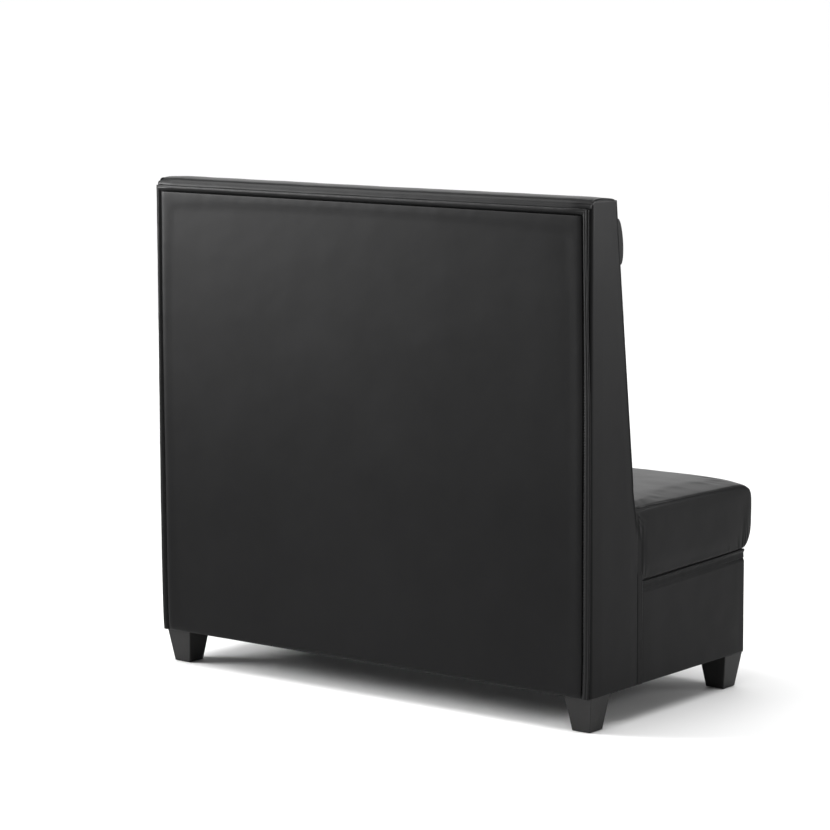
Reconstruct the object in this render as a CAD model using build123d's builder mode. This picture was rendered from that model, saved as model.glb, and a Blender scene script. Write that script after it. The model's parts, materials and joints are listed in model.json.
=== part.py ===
from build123d import *
from math import cos, radians, sin
import os

os.makedirs("parts", exist_ok=True)

# A single upholstered restaurant booth, in millimetres.
# X runs along the seat, the sitter faces -Y, and the floor is Z = 0.
# Depths are measured forward from the back plane, the flat rear of the frame and side covers.
# Left and right are those of a person who stands in front of the booth and looks at it.

# Outer shape
overall_width = 1168.4
overall_height = 1090.5
underside_height = 75.0
joint_height = 300.0
base_depth = 575.0
cushion_overhang = 34.0
back_depth = 168.5
top_depth = 90.3
foot_flare = 15.2
flare_height = 106.0
knee_drop = 47.0
side_seam_drop = 9.5
side_strip_width = 18.0

# Sheet goods
panel_thickness = 18.0
outside_board_thickness = 3.0
inside_board_thickness = 9.0
cushion_board_thickness = 12.0
cover_thickness = 1.2
dust_cover_thickness = 0.8
side_padding_thickness = 5.0
front_padding_thickness = 5.0
back_foam_thickness = 30.0
soft_gap = 0.3

# Outside back: the padded panel, its sewn border and how far they stand out
back_stand_out = 6.0
back_edge_stand_out = 2.4
back_roll_over = 25.0
border_width = 15.0
border_lip_width = 9.4
border_lip_stand_out = 4.9
border_foot_stand_out = 1.2
bead_stand_out = 5.6
bead_edge_stand_out = 3.6
border_top_drop = 17.5

# Top cap, head roll and inside back
cap_height = 30.5
cap_rear_rounding = 9.0
cap_front_rounding = 5.0
cap_rear_shoulder = 5.5
cap_front_shoulder = 7.5
roll_top_drop = 43.5
roll_height = 100.0
roll_stand_out = 28.0
inside_back_crown = 12.0
inside_back_foot_rise = 56.0

# Seat cushion
seat_rise = 141.0
seat_fall = 8.0
seat_crown = 20.0
front_shoulder_setback = 44.0
front_shoulder_crown = 16.0
front_draw = 4.0
nose_top_drop = 28.0
nose_bottom_rise = 45.0
nose_lean = 3.0
nose_foot_overhang = 3.0
front_seam_drop = 19.0
side_draw = 8.0
cushion_board_setback = 22.0
flat_arc_rise = 1.0

# Frame rails, blocks and trim
low_rail_height = 90.0
middle_rail_height = 70.0
block_width = 90.0
block_height = 45.0
band_height = 18.0

# Legs, their hardware and the bolts and screws inside
leg_top_width = 68.1
leg_bottom_width = 45.3
leg_edge_chamfer = 1.5
leg_side_inset = 0.5
leg_rear_inset = 6.3
leg_front_inset = 3.7
glide_stand_out = 1.5
glide_thickness = 4.0
glide_radius = 11.0
glide_pin_radius = 1.5
glide_pin_length = 14.0
bolt_radius = 4.0
hole_clearance = 0.3
hanger_depth_in_leg = 30.0
hanger_end_length = 3.0
tee_nut_flange_radius = 9.4
tee_nut_flange_thickness = 1.5
tee_nut_barrel_radius = 5.2
tee_nut_barrel_length = 12.0
bolt_head_radius = 9.0
bolt_head_height = 4.0
washer_radius = 9.5
washer_thickness = 1.6
nut_across_flats = 13.0
nut_height = 6.5
bolt_end_length = 3.0
joining_bolt_columns = 2
joining_bolt_rows = 2
joining_bolt_spacing_x = 760.0
joining_bolt_spacing_z = 110.0
screw_radius = 2.3
screw_head_radius = 4.8
screw_head_height = 2.8
screw_tip_cover = 3.0
screw_columns = 4
screw_rows = 2
screw_spacing_x = 290.0
screw_spacing_y = 250.0

# How far a cutting solid runs past what it cuts
overrun = 2.0

# Shares along the half width at which soft sections stand, with the share of the crown there
cushion_shares = [(1.0, 0.0, 1.0), (0.99, 0.35, 0.3), (0.965, 0.62, 0.0), (0.9, 0.86, 0.0), (0.75, 0.96, 0.0),
                  (0.45, 0.99, 0.0)]
inside_back_shares = [(0.9, 0.55), (0.5, 0.95)]
roll_shares = [(1.0, 0.52), (0.99, 0.70), (0.96, 0.86), (0.88, 1.0)]
middle_rail_share = 0.392
shoulder_bulge_share = 0.72
nose_bulge_share = 0.67

# Places worked out from the sizes above
half_width = overall_width / 2
padding_half = half_width - cover_thickness
wood_half = padding_half - side_padding_thickness
inner_half = wood_half - panel_thickness
cushion_depth = base_depth + cushion_overhang
back_plane_y = (cushion_depth - back_stand_out) / 2
seat_line_height = joint_height + seat_rise
front_shoulder_depth = cushion_depth - front_shoulder_setback
front_shoulder_height = seat_line_height - seat_fall
nose_top_height = front_shoulder_height - nose_top_drop
nose_bottom_height = joint_height + nose_bottom_rise
nose_foot_depth = base_depth + nose_foot_overhang
front_seam_height = front_shoulder_height - front_seam_drop
knee_height = seat_line_height - knee_drop
lean_foot_depth = back_depth - foot_flare
lean_foot_height = knee_height + flare_height
inside_back_foot_height = knee_height + inside_back_foot_rise
side_seam_height = overall_height - side_seam_drop
border_top_height = overall_height - border_top_drop
roll_top_height = overall_height - roll_top_drop
roll_bottom_height = roll_top_height - roll_height
middle_rail_centre_height = lean_foot_height + (roll_bottom_height - lean_foot_height) * middle_rail_share
frame_bottom = underside_height + dust_cover_thickness
frame_top = overall_height - cap_height
deck_bottom = joint_height - panel_thickness
base_wood_depth = base_depth - cover_thickness - front_padding_thickness
front_panel_depth = base_wood_depth - panel_thickness
stitch_half = half_width - border_width
stitch_top_height = border_top_height - border_width
cushion_rear_depth = back_depth + soft_gap
strip_front_depth = back_depth + side_strip_width
cap_front_turn_height = overall_height - cap_front_shoulder - cap_front_rounding
cap_rear_turn_height = overall_height - cap_rear_shoulder - cap_rear_rounding
side_hands = {"left": -1, "right": 1}
leg_rear_depth = leg_rear_inset + leg_top_width / 2
leg_front_depth = base_depth - leg_front_inset - leg_top_width / 2
leg_x = half_width - leg_side_inset - leg_top_width / 2
joining_bolt_grid = (joining_bolt_spacing_x, joining_bolt_spacing_z, joining_bolt_columns, joining_bolt_rows)
screw_grid = (screw_spacing_x, screw_spacing_y, screw_columns, screw_rows)


def at_depth(depth):
    """Y of a place that is measured forward from the back plane."""
    return back_plane_y - depth


def lean_depth(height):
    """Depth of the straight leaning front of the back at a height."""
    share = (overall_height - height) / (overall_height - lean_foot_height)
    return top_depth + (lean_foot_depth - top_depth) * share


def front_depth(height):
    """Depth of the side outline's front edge: upright, then flared, then leaning."""
    if height >= lean_foot_height:
        return lean_depth(height)
    if height <= knee_height:
        return back_depth
    share = (height - knee_height) / (lean_foot_height - knee_height)
    return back_depth + (lean_foot_depth - back_depth) * share


def wood_front(height):
    """Depth of the leaning front of the back's wooden frame."""
    return lean_depth(height) - cover_thickness - back_foam_thickness - inside_board_thickness


def board_front(height):
    """Depth of the front face of the inside back board."""
    return wood_front(height) + inside_board_thickness


def side_prism(points, x_from, x_to, mode=Mode.ADD):
    """A solid along X whose side view is a polygon of (depth, height) points."""
    with BuildSketch(Plane.YZ.offset(x_from)) as outline:
        with BuildLine():
            Polyline(*[(at_depth(depth), height) for depth, height in points], close=True)
        make_face()
    extrude(outline.sketch, amount=x_to - x_from, mode=mode)


def slab(x_from, x_to, depth_from, depth_to, z_from, z_to, mode=Mode.ADD):
    """A square-edged board between two places along each axis."""
    outline = [(depth_from, z_from), (depth_to, z_from), (depth_to, z_to), (depth_from, z_to)]
    side_prism(outline, x_from, x_to, mode)


def hand_range(hand, inner, outer):
    """Lower and upper X of a piece that lies between two distances from the middle."""
    return min(hand * inner, hand * outer), max(hand * inner, hand * outer)


def finish(builder, label):
    """Labels a piece and writes it."""
    builder.part.label = label
    export_step(builder.part, f"parts/{label}.step")


def joining_sketch(depth):
    """Sketch plane that faces the sitter at a depth; its origin is the middle of the joining bolts."""
    middle = (0, at_depth(depth), (frame_bottom + deck_bottom) / 2)
    return Plane.XZ.offset(-at_depth(depth)).shift_origin(middle)


# Back frame: two tapered end panels, rails between them and a notched rib in the middle
back_frame_outline = [
    (outside_board_thickness, frame_bottom),
    (back_depth, frame_bottom),
    (back_depth, joint_height),
    (wood_front(joint_height), joint_height),
    (wood_front(frame_top), frame_top),
    (outside_board_thickness, frame_top),
]
for side, hand in side_hands.items():
    with BuildPart() as back_end_panel:
        side_prism(back_frame_outline, *hand_range(hand, inner_half, wood_half))
    finish(back_end_panel, f"back_end_panel_{side}")

with BuildPart() as back_rear_rail:
    slab(-inner_half, inner_half, outside_board_thickness, outside_board_thickness + panel_thickness,
         frame_bottom, frame_bottom + low_rail_height)
finish(back_rear_rail, "back_rear_rail")

with BuildPart() as back_joining_rail:
    slab(-inner_half, inner_half, back_depth - panel_thickness, back_depth, frame_bottom, joint_height)
    with BuildSketch(joining_sketch(back_depth - panel_thickness)):
        with GridLocations(*joining_bolt_grid):
            Circle(bolt_radius + hole_clearance)
    extrude(amount=panel_thickness, mode=Mode.SUBTRACT)
finish(back_joining_rail, "back_joining_rail")


def leaning_rail(low, high):
    """A rail that stands behind the inside back board and leans with it."""
    rail_outline = [
        (wood_front(low) - panel_thickness, low),
        (wood_front(low), low),
        (wood_front(high), high),
        (wood_front(high) - panel_thickness, high),
    ]
    side_prism(rail_outline, -inner_half, inner_half)


top_rail_bottom = frame_top - panel_thickness
with BuildPart() as back_middle_rail:
    leaning_rail(middle_rail_centre_height - middle_rail_height / 2,
                 middle_rail_centre_height + middle_rail_height / 2)
finish(back_middle_rail, "back_middle_rail")

with BuildPart() as back_head_rail:
    leaning_rail(roll_bottom_height, top_rail_bottom)
finish(back_head_rail, "back_head_rail")

with BuildPart() as back_top_rail:
    top_rail_outline = [
        (outside_board_thickness, top_rail_bottom),
        (wood_front(top_rail_bottom), top_rail_bottom),
        (wood_front(frame_top), frame_top),
        (outside_board_thickness, frame_top),
    ]
    side_prism(top_rail_outline, -inner_half, inner_half)
finish(back_top_rail, "back_top_rail")

with BuildPart() as back_centre_rib:
    side_prism(back_frame_outline, -panel_thickness / 2, panel_thickness / 2)
    for rail in (back_rear_rail, back_joining_rail, back_middle_rail, back_head_rail, back_top_rail):
        add(rail.part, mode=Mode.SUBTRACT)
finish(back_centre_rib, "back_centre_rib")

with BuildPart() as outside_back_board:
    slab(-wood_half, wood_half, 0, outside_board_thickness, frame_bottom, frame_top)
finish(outside_back_board, "outside_back_board")

with BuildPart() as inside_back_board:
    board_outline = [
        (wood_front(joint_height), joint_height),
        (board_front(joint_height), joint_height),
        (board_front(frame_top), frame_top),
        (wood_front(frame_top), frame_top),
    ]
    side_prism(board_outline, -wood_half, wood_half)
finish(inside_back_board, "inside_back_board")

# Seat box: end panels, front and rear panels, a rib and the deck on top
for side, hand in side_hands.items():
    with BuildPart() as seat_end_panel:
        slab(*hand_range(hand, inner_half, wood_half), back_depth, front_panel_depth, frame_bottom, deck_bottom)
    finish(seat_end_panel, f"seat_end_panel_{side}")

with BuildPart() as seat_front_panel:
    slab(-wood_half, wood_half, front_panel_depth, base_wood_depth, frame_bottom, deck_bottom)
finish(seat_front_panel, "seat_front_panel")

rear_panel_front = back_depth + panel_thickness
with BuildPart() as seat_rear_panel:
    slab(-inner_half, inner_half, back_depth, rear_panel_front, frame_bottom, deck_bottom)
    with BuildSketch(joining_sketch(back_depth)):
        with GridLocations(*joining_bolt_grid):
            Circle(bolt_radius + hole_clearance)
    extrude(amount=panel_thickness, mode=Mode.SUBTRACT)
finish(seat_rear_panel, "seat_rear_panel")

with BuildPart() as seat_centre_rib:
    slab(-panel_thickness / 2, panel_thickness / 2, rear_panel_front, front_panel_depth,
         frame_bottom, deck_bottom)
finish(seat_centre_rib, "seat_centre_rib")

screw_centre_y = at_depth((back_depth + base_wood_depth) / 2)
with BuildPart() as seat_deck_board:
    slab(-wood_half, wood_half, back_depth, base_wood_depth, deck_bottom, joint_height)
    with BuildSketch(Plane.XY.offset(deck_bottom)):
        with Locations((0, screw_centre_y)):
            with GridLocations(*screw_grid):
                Circle(screw_radius + hole_clearance)
    extrude(amount=panel_thickness, mode=Mode.SUBTRACT)
finish(seat_deck_board, "seat_deck_board")

# Corner blocks that take the legs, with a stepped hole for a tee nut and its bolt
block_top = frame_bottom + block_height
rear_block_depth = outside_board_thickness + panel_thickness
block_depths = {
    "rear": (rear_block_depth, rear_block_depth + block_width),
    "front": (front_panel_depth - block_width, front_panel_depth),
}
leg_depths = {"rear": leg_rear_depth, "front": leg_front_depth}
leg_places = [(hand * leg_x, at_depth(depth))
              for depth in leg_depths.values() for hand in side_hands.values()]
for place, depths in block_depths.items():
    for side, hand in side_hands.items():
        with BuildPart() as corner_block:
            slab(*hand_range(hand, inner_half - block_width, inner_half), *depths, frame_bottom, block_top)
            with BuildSketch(Plane.XY.offset(frame_bottom)):
                with Locations((hand * leg_x, at_depth(leg_depths[place]))):
                    Circle(bolt_radius + hole_clearance)
            extrude(amount=block_height, mode=Mode.SUBTRACT)
            with BuildSketch(Plane.XY.offset(block_top - tee_nut_barrel_length)):
                with Locations((hand * leg_x, at_depth(leg_depths[place]))):
                    Circle(tee_nut_barrel_radius + hole_clearance)
            extrude(amount=tee_nut_barrel_length, mode=Mode.SUBTRACT)
        finish(corner_block, f"corner_block_{place}_{side}")


# Legs: tapered square posts on round glides, held by hanger bolts
def leg_square(height, width, centre):
    """Square with its corners taken off, across one leg at a height."""
    with BuildSketch(Plane.XY.offset(height)) as square:
        with Locations(centre):
            Rectangle(width, width)
        chamfer(square.vertices(), length=leg_edge_chamfer)
    return square.sketch


def round_hole(height, length, radius, centres):
    """Upright round holes from a height upwards."""
    with BuildSketch(Plane.XY.offset(height)) as circles:
        with Locations(*centres):
            Circle(radius)
    extrude(circles.sketch, amount=length, mode=Mode.SUBTRACT)


glide_seat_depth = glide_thickness - glide_stand_out
for place in leg_depths:
    for side, hand in side_hands.items():
        centre = (hand * leg_x, at_depth(leg_depths[place]))
        with BuildPart() as leg:
            loft([leg_square(glide_stand_out, leg_bottom_width, centre),
                  leg_square(underside_height, leg_top_width, centre)], ruled=True)
            round_hole(glide_stand_out, glide_seat_depth, glide_radius + hole_clearance, [centre])
            round_hole(glide_thickness, glide_pin_length, glide_pin_radius + hole_clearance, [centre])
            round_hole(underside_height - hanger_depth_in_leg, hanger_depth_in_leg,
                       bolt_radius + hole_clearance, [centre])
        finish(leg, f"leg_{place}_{side}")

with BuildPart() as leg_glides:
    with BuildSketch():
        with Locations(*leg_places):
            Circle(glide_radius)
    extrude(amount=glide_thickness)
    chamfer(leg_glides.faces().sort_by(Axis.Z)[:len(leg_places)].edges(), length=glide_stand_out / 2)
    with BuildSketch(Plane.XY.offset(glide_thickness)):
        with Locations(*leg_places):
            Circle(glide_pin_radius)
    extrude(amount=glide_pin_length)
finish(leg_glides, "leg_glides")

hanger_bottom = underside_height - hanger_depth_in_leg
tee_nut_top = block_top + tee_nut_flange_thickness
with BuildPart() as hanger_bolts:
    with BuildSketch(Plane.XY.offset(hanger_bottom)):
        with Locations(*leg_places):
            Circle(bolt_radius)
    extrude(amount=tee_nut_top + hanger_end_length - hanger_bottom)
finish(hanger_bolts, "hanger_bolts")

with BuildPart() as leg_tee_nuts:
    with BuildSketch(Plane.XY.offset(block_top)):
        with Locations(*leg_places):
            Circle(tee_nut_flange_radius)
    extrude(amount=tee_nut_flange_thickness)
    with BuildSketch(Plane.XY.offset(block_top - tee_nut_barrel_length)):
        with Locations(*leg_places):
            Circle(tee_nut_barrel_radius)
    extrude(amount=tee_nut_barrel_length)
    round_hole(block_top - tee_nut_barrel_length, tee_nut_barrel_length + tee_nut_flange_thickness,
               bolt_radius + hole_clearance, leg_places)
finish(leg_tee_nuts, "leg_tee_nuts")


# Bolts that join the back to the seat box, and screws that hold the cushion down
with BuildPart() as joining_bolts:
    with BuildSketch(joining_sketch(back_depth - panel_thickness - bolt_head_height)):
        with GridLocations(*joining_bolt_grid):
            Circle(bolt_head_radius)
    extrude(amount=bolt_head_height)
    bolt_heads = joining_bolts.faces().sort_by(Axis.Y)[-joining_bolt_columns * joining_bolt_rows:]
    chamfer(bolt_heads.edges(), length=bolt_head_height / 2)
    with BuildSketch(joining_sketch(back_depth - panel_thickness)):
        with GridLocations(*joining_bolt_grid):
            Circle(bolt_radius)
    extrude(amount=2 * panel_thickness + washer_thickness + nut_height + bolt_end_length)
finish(joining_bolts, "joining_bolts")

with BuildPart() as joining_washers:
    with BuildSketch(joining_sketch(rear_panel_front)):
        with GridLocations(*joining_bolt_grid):
            Circle(washer_radius)
            Circle(bolt_radius + hole_clearance, mode=Mode.SUBTRACT)
    extrude(amount=washer_thickness)
finish(joining_washers, "joining_washers")

with BuildPart() as joining_nuts:
    with BuildSketch(joining_sketch(rear_panel_front + washer_thickness)):
        with GridLocations(*joining_bolt_grid):
            RegularPolygon(nut_across_flats / 2, 6, major_radius=False)
            Circle(bolt_radius + hole_clearance, mode=Mode.SUBTRACT)
    extrude(amount=nut_height)
finish(joining_nuts, "joining_nuts")

screw_length = panel_thickness + cushion_board_thickness - screw_tip_cover
with BuildPart() as cushion_screws:
    with BuildSketch(Plane.XY.offset(deck_bottom - screw_head_height)):
        with Locations((0, screw_centre_y)):
            with GridLocations(*screw_grid):
                Circle(screw_head_radius)
    extrude(amount=screw_head_height)
    with BuildSketch(Plane.XY.offset(deck_bottom)):
        with Locations((0, screw_centre_y)):
            with GridLocations(*screw_grid):
                Circle(screw_radius)
    extrude(amount=screw_length)
finish(cushion_screws, "cushion_screws")

# Side padding and covers: flat sheets cut to the side outline of the back and of the seat box
for side, hand in side_hands.items():
    with BuildPart() as back_side_padding:
        inset = cover_thickness + soft_gap
        padding_outline = [
            (0, underside_height),
            (back_depth - inset, underside_height),
            (back_depth - inset, knee_height),
            (lean_foot_depth - inset, lean_foot_height),
            (lean_depth(cap_front_turn_height) - inset, cap_front_turn_height),
            (lean_depth(side_seam_height) - inset - cap_front_rounding, side_seam_height),
            (side_seam_height - cap_rear_turn_height, side_seam_height),
            (0, cap_rear_turn_height),
        ]
        side_prism(padding_outline, *hand_range(hand, wood_half, padding_half))
    finish(back_side_padding, f"back_side_padding_{side}")

    with BuildPart() as back_side_cover:
        cover_outline = [
            (0, underside_height),
            (back_depth, underside_height),
            (back_depth, knee_height),
            (lean_foot_depth, lean_foot_height),
            (lean_depth(side_seam_height), side_seam_height),
            (0, side_seam_height),
        ]
        side_prism(cover_outline, *hand_range(hand, padding_half, half_width))
    finish(back_side_cover, f"back_side_cover_{side}")

    with BuildPart() as base_side_padding:
        slab(*hand_range(hand, wood_half, padding_half), back_depth, base_depth - cover_thickness,
             underside_height, joint_height)
    finish(base_side_padding, f"base_side_padding_{side}")

    with BuildPart() as base_side_cover:
        slab(*hand_range(hand, padding_half, half_width), strip_front_depth, base_depth,
             underside_height, joint_height - band_height)
    finish(base_side_cover, f"base_side_cover_{side}")

    with BuildPart() as side_strip:
        slab(*hand_range(hand, padding_half, half_width), back_depth, strip_front_depth,
             underside_height, knee_height)
    finish(side_strip, f"side_strip_{side}")

with BuildPart() as base_front_padding:
    slab(-wood_half, wood_half, base_wood_depth, base_depth - cover_thickness, underside_height, joint_height)
finish(base_front_padding, "base_front_padding")

with BuildPart() as base_front_cover:
    slab(-padding_half, padding_half, base_depth - cover_thickness, base_depth,
         underside_height, joint_height - band_height)
finish(base_front_cover, "base_front_cover")

with BuildPart() as base_band:
    slab(-half_width, half_width, strip_front_depth, base_depth, joint_height - band_height, joint_height)
    slab(-padding_half, padding_half, strip_front_depth, base_depth - cover_thickness,
         joint_height - band_height, joint_height, mode=Mode.SUBTRACT)
finish(base_band, "base_band")

# Dust covers under the two boxes, with holes for the leg bolts
dust_depths = {"back": (0, back_depth), "seat": (back_depth, base_wood_depth)}
for box_name, depths in dust_depths.items():
    with BuildPart() as dust_cover:
        slab(-wood_half, wood_half, *depths, underside_height, frame_bottom)
        round_hole(underside_height, dust_cover_thickness, bolt_radius + hole_clearance, leg_places)
    finish(dust_cover, f"{box_name}_dust_cover")

# Outside back: crowned padding and cover inside a sewn border with mitred corners
roll_over_turns = [0, 30, 60, 90]


def back_pillow(inset, mode=Mode.ADD):
    """The padded panel pulled in all round by an inset: an upright edge, then a rolled-over rim."""
    height = stitch_top_height - underside_height - 2 * inset
    middle = (stitch_top_height + underside_height) / 2
    with BuildSketch(Plane.XZ.offset(-back_plane_y)) as foot:
        with Locations((0, middle)):
            Rectangle(2 * (stitch_half - inset), height)
    extrude(foot.sketch, amount=inset - back_edge_stand_out, mode=mode)
    rims = []
    for turn in roll_over_turns:
        rise = (back_stand_out - back_edge_stand_out) * sin(radians(turn))
        pulled_in = inset + back_roll_over * (1 - cos(radians(turn)))
        with BuildSketch(Plane.XZ.offset(-back_plane_y - back_edge_stand_out - rise + inset)) as rim:
            with Locations((0, middle)):
                Rectangle(2 * (stitch_half - pulled_in), height - 2 * (pulled_in - inset))
        rims.append(rim.sketch)
    loft(rims, mode=mode)


with BuildPart() as outside_back_padding:
    back_pillow(cover_thickness + soft_gap)
finish(outside_back_padding, "outside_back_padding")

with BuildPart() as outside_back_cover:
    back_pillow(0)
    back_pillow(cover_thickness, mode=Mode.SUBTRACT)
finish(outside_back_cover, "outside_back_cover")

with BuildPart() as outside_back_border:
    with BuildLine() as border_path:
        Polyline((stitch_half, back_plane_y, underside_height),
                 (stitch_half, back_plane_y, stitch_top_height),
                 (-stitch_half, back_plane_y, stitch_top_height),
                 (-stitch_half, back_plane_y, underside_height))
    border_corner = (stitch_half, back_plane_y, underside_height)
    border_start = Plane(origin=border_corner, x_dir=(1, 0, 0), z_dir=(0, 0, 1))
    with BuildSketch(border_start):
        with BuildLine():
            Polyline((border_width, bead_edge_stand_out), (border_width, 0), (0, 0), (0, border_foot_stand_out),
                     (border_lip_width, border_lip_stand_out))
            ThreePointArc((border_lip_width, border_lip_stand_out),
                          ((border_lip_width + border_width) / 2, bead_stand_out),
                          (border_width, bead_edge_stand_out))
        make_face()
    sweep(path=border_path.line, transition=Transition.RIGHT)
finish(outside_back_border, "outside_back_border")


# Top cap: foam across the whole top, under a cover that laps down behind and in front
def cap_prism(inset, half, low, mode=Mode.ADD):
    """The cap along the booth: a crowned top between a rounded rear shoulder and a rounded front one."""
    rear = at_depth(inset - cover_thickness)
    rear_radius = cap_rear_rounding - inset
    front_radius = cap_front_rounding - inset
    front = at_depth(lean_depth(cap_front_turn_height) - inset)
    rear_top = (rear - rear_radius, cap_rear_turn_height + rear_radius)
    front_top = (front + front_radius, cap_front_turn_height + front_radius)
    with BuildSketch(Plane.YZ.offset(-half)) as outline:
        with BuildLine():
            Line((rear, low), (rear, cap_rear_turn_height))
            TangentArc((rear, cap_rear_turn_height), rear_top, tangent=(0, 1))
            ThreePointArc(rear_top, ((rear + front) / 2, overall_height - inset), front_top)
            TangentArc((front, cap_front_turn_height), front_top, tangent=(0, 1))
            Polyline((front, cap_front_turn_height), (at_depth(lean_depth(low) - inset), low), (rear, low))
        make_face()
    extrude(outline.sketch, amount=2 * half, mode=mode)


def clear_cap_ends(inner, low):
    """Room for the side padding and covers, which run up to their seam with the cap."""
    for hand in side_hands.values():
        slab(*hand_range(hand, inner, half_width + overrun), 0, back_depth, low - overrun, side_seam_height,
             mode=Mode.SUBTRACT)


with BuildPart() as top_cap_foam:
    cap_prism(cover_thickness + soft_gap, padding_half - soft_gap, frame_top)
    clear_cap_ends(wood_half, frame_top)
finish(top_cap_foam, "top_cap_foam")

with BuildPart() as top_cap_cover:
    cap_prism(0, half_width, roll_top_height)
    cap_prism(cover_thickness, padding_half, roll_top_height, mode=Mode.SUBTRACT)
    clear_cap_ends(padding_half, roll_top_height)
    slab(-half_width - overrun, half_width + overrun, -cover_thickness - overrun, top_depth / 2,
         roll_top_height - overrun, border_top_height, mode=Mode.SUBTRACT)
finish(top_cap_cover, "top_cap_cover")


# Inside back: crowned foam on its board, under a cover that follows the same front
def inside_front(inset, crown, high):
    """Front edge of the inside back: upright, flared, crowned over the backrest, straight under the roll."""
    middle = (inside_back_foot_height + roll_bottom_height) / 2
    foot = (at_depth(front_depth(inside_back_foot_height) - inset), inside_back_foot_height)
    head = (at_depth(lean_depth(roll_bottom_height) - inset), roll_bottom_height)
    top = (at_depth(lean_depth(high) - inset), high)
    Polyline((at_depth(back_depth - inset), joint_height), (at_depth(back_depth - inset), knee_height), foot)
    ThreePointArc(foot, (at_depth(front_depth(middle) + crown - inset), middle), head)
    Line(head, top)
    return top


def inside_back_places(end_half):
    """X and crown of each section of the inside back, from one end to the other."""
    right_places = [(end_half, 0)]
    right_places += [(share * wood_half, crown * inside_back_crown) for share, crown in inside_back_shares]
    return [(-x, crown) for x, crown in right_places] + [(0, inside_back_crown)] + right_places[::-1]


with BuildPart() as inside_back_foam:
    inset = cover_thickness + soft_gap
    for x, crown in inside_back_places(wood_half):
        with BuildSketch(Plane.YZ.offset(x)):
            with BuildLine():
                top = inside_front(inset, crown, frame_top)
                Polyline(top, (at_depth(board_front(frame_top)), frame_top),
                         (at_depth(board_front(joint_height)), joint_height),
                         (at_depth(back_depth - inset), joint_height))
            make_face()
    loft()
finish(inside_back_foam, "inside_back_foam")

with BuildPart() as inside_back_cover:
    for x, crown in inside_back_places(padding_half):
        with BuildSketch(Plane.YZ.offset(x)):
            with BuildLine():
                front_top = inside_front(0, crown, roll_top_height)
                rear_top = inside_front(cover_thickness, crown, roll_top_height)
                Line(front_top, rear_top)
                Line((at_depth(back_depth), joint_height),
                     (at_depth(back_depth - cover_thickness), joint_height))
            make_face()
    loft()
finish(inside_back_cover, "inside_back_cover")


# Head roll: a half-round bolster across the top of the inside back, drawn in at its ends
def roll_body(inset, mode=Mode.ADD):
    """Half-round sections along the roll, pulled in by an inset except at its flat back."""
    middle = (roll_bottom_height + roll_top_height) / 2
    sections = []
    for share, out in [(-share, out) for share, out in roll_shares] + roll_shares[::-1]:
        low = (at_depth(lean_depth(roll_bottom_height + inset) + soft_gap), roll_bottom_height + inset)
        high = (at_depth(lean_depth(roll_top_height - inset) + soft_gap), roll_top_height - inset)
        crest = (at_depth(lean_depth(middle) + soft_gap + out * roll_stand_out - inset), middle)
        with BuildSketch(Plane.YZ.offset(share * (half_width - inset))) as section:
            with BuildLine():
                Line(high, low)
                ThreePointArc(low, crest, high)
            make_face()
        sections.append(section.sketch)
    loft(sections, ruled=True, mode=mode)


with BuildPart() as head_roll_foam:
    roll_body(cover_thickness + soft_gap)
finish(head_roll_foam, "head_roll_foam")

with BuildPart() as head_roll_cover:
    roll_body(0)
    roll_body(cover_thickness, mode=Mode.SUBTRACT)
finish(head_roll_cover, "head_roll_cover")


# Seat cushion: crowned foam over a board, in a cover sewn from a top panel and a boxing band
def bulge(inner, outer, share):
    """Middle of a rounded corner, out from the chord: past half way across before it turns up or down."""
    return inner[0] + (outer[0] - inner[0]) * share, outer[1] + (inner[1] - outer[1]) * share


def cushion_section(x, crown, draw, inset, drop):
    """Side view of the cushion at one place across it, with an inset all round and a drop at its foot."""
    foot_height = joint_height + draw * side_draw - drop
    rear = at_depth(cushion_rear_depth + inset)
    rear_top = (at_depth(front_depth(seat_line_height) + soft_gap + inset), seat_line_height - inset)
    shoulder = (at_depth(front_shoulder_depth), front_shoulder_height - inset + crown * front_shoulder_crown)
    middle_depth = (back_depth + front_shoulder_depth) / 2
    crest = (at_depth(middle_depth), (seat_line_height + front_shoulder_height) / 2 - inset + crown * seat_crown
             + flat_arc_rise)
    nose_depth = cushion_depth - (1 - crown) * front_draw - inset
    nose_top = (at_depth(nose_depth), nose_top_height)
    nose_bottom = (at_depth(nose_depth - nose_lean), nose_bottom_height)
    foot = (at_depth(nose_foot_depth - inset), foot_height)
    with BuildSketch(Plane.YZ.offset(x)) as section:
        with BuildLine():
            Polyline((rear, foot_height), (rear, knee_height), rear_top)
            ThreePointArc(rear_top, crest, shoulder)
            ThreePointArc(shoulder, bulge(shoulder, nose_top, shoulder_bulge_share), nose_top)
            Line(nose_top, nose_bottom)
            ThreePointArc(nose_bottom, bulge(foot, nose_bottom, nose_bulge_share), foot)
            Line(foot, (rear, foot_height))
        make_face()
    return section.sketch


def cushion_body(inset, drop=0, mode=Mode.ADD):
    """The cushion's outline lofted from side to side."""
    half = half_width - inset
    right_places = [(share * half, crown, draw) for share, crown, draw in cushion_shares]
    left_places = [(-x, crown, draw) for x, crown, draw in right_places]
    places = left_places + [(0, 1, 0)] + right_places[::-1]
    loft([cushion_section(x, crown, draw, inset, drop) for x, crown, draw in places], ruled=True, mode=mode)


board_half = half_width - cushion_board_setback
board_depths = (cushion_rear_depth + cover_thickness + soft_gap, nose_foot_depth - cushion_board_setback)
board_top = joint_height + cushion_board_thickness
with BuildPart() as cushion_board:
    slab(-board_half, board_half, *board_depths, joint_height, board_top)
    with BuildSketch(Plane.XY.offset(joint_height)):
        with Locations((0, screw_centre_y)):
            with GridLocations(*screw_grid):
                Circle(screw_radius + hole_clearance)
    extrude(amount=screw_length - panel_thickness, mode=Mode.SUBTRACT)
finish(cushion_board, "cushion_board")

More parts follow.
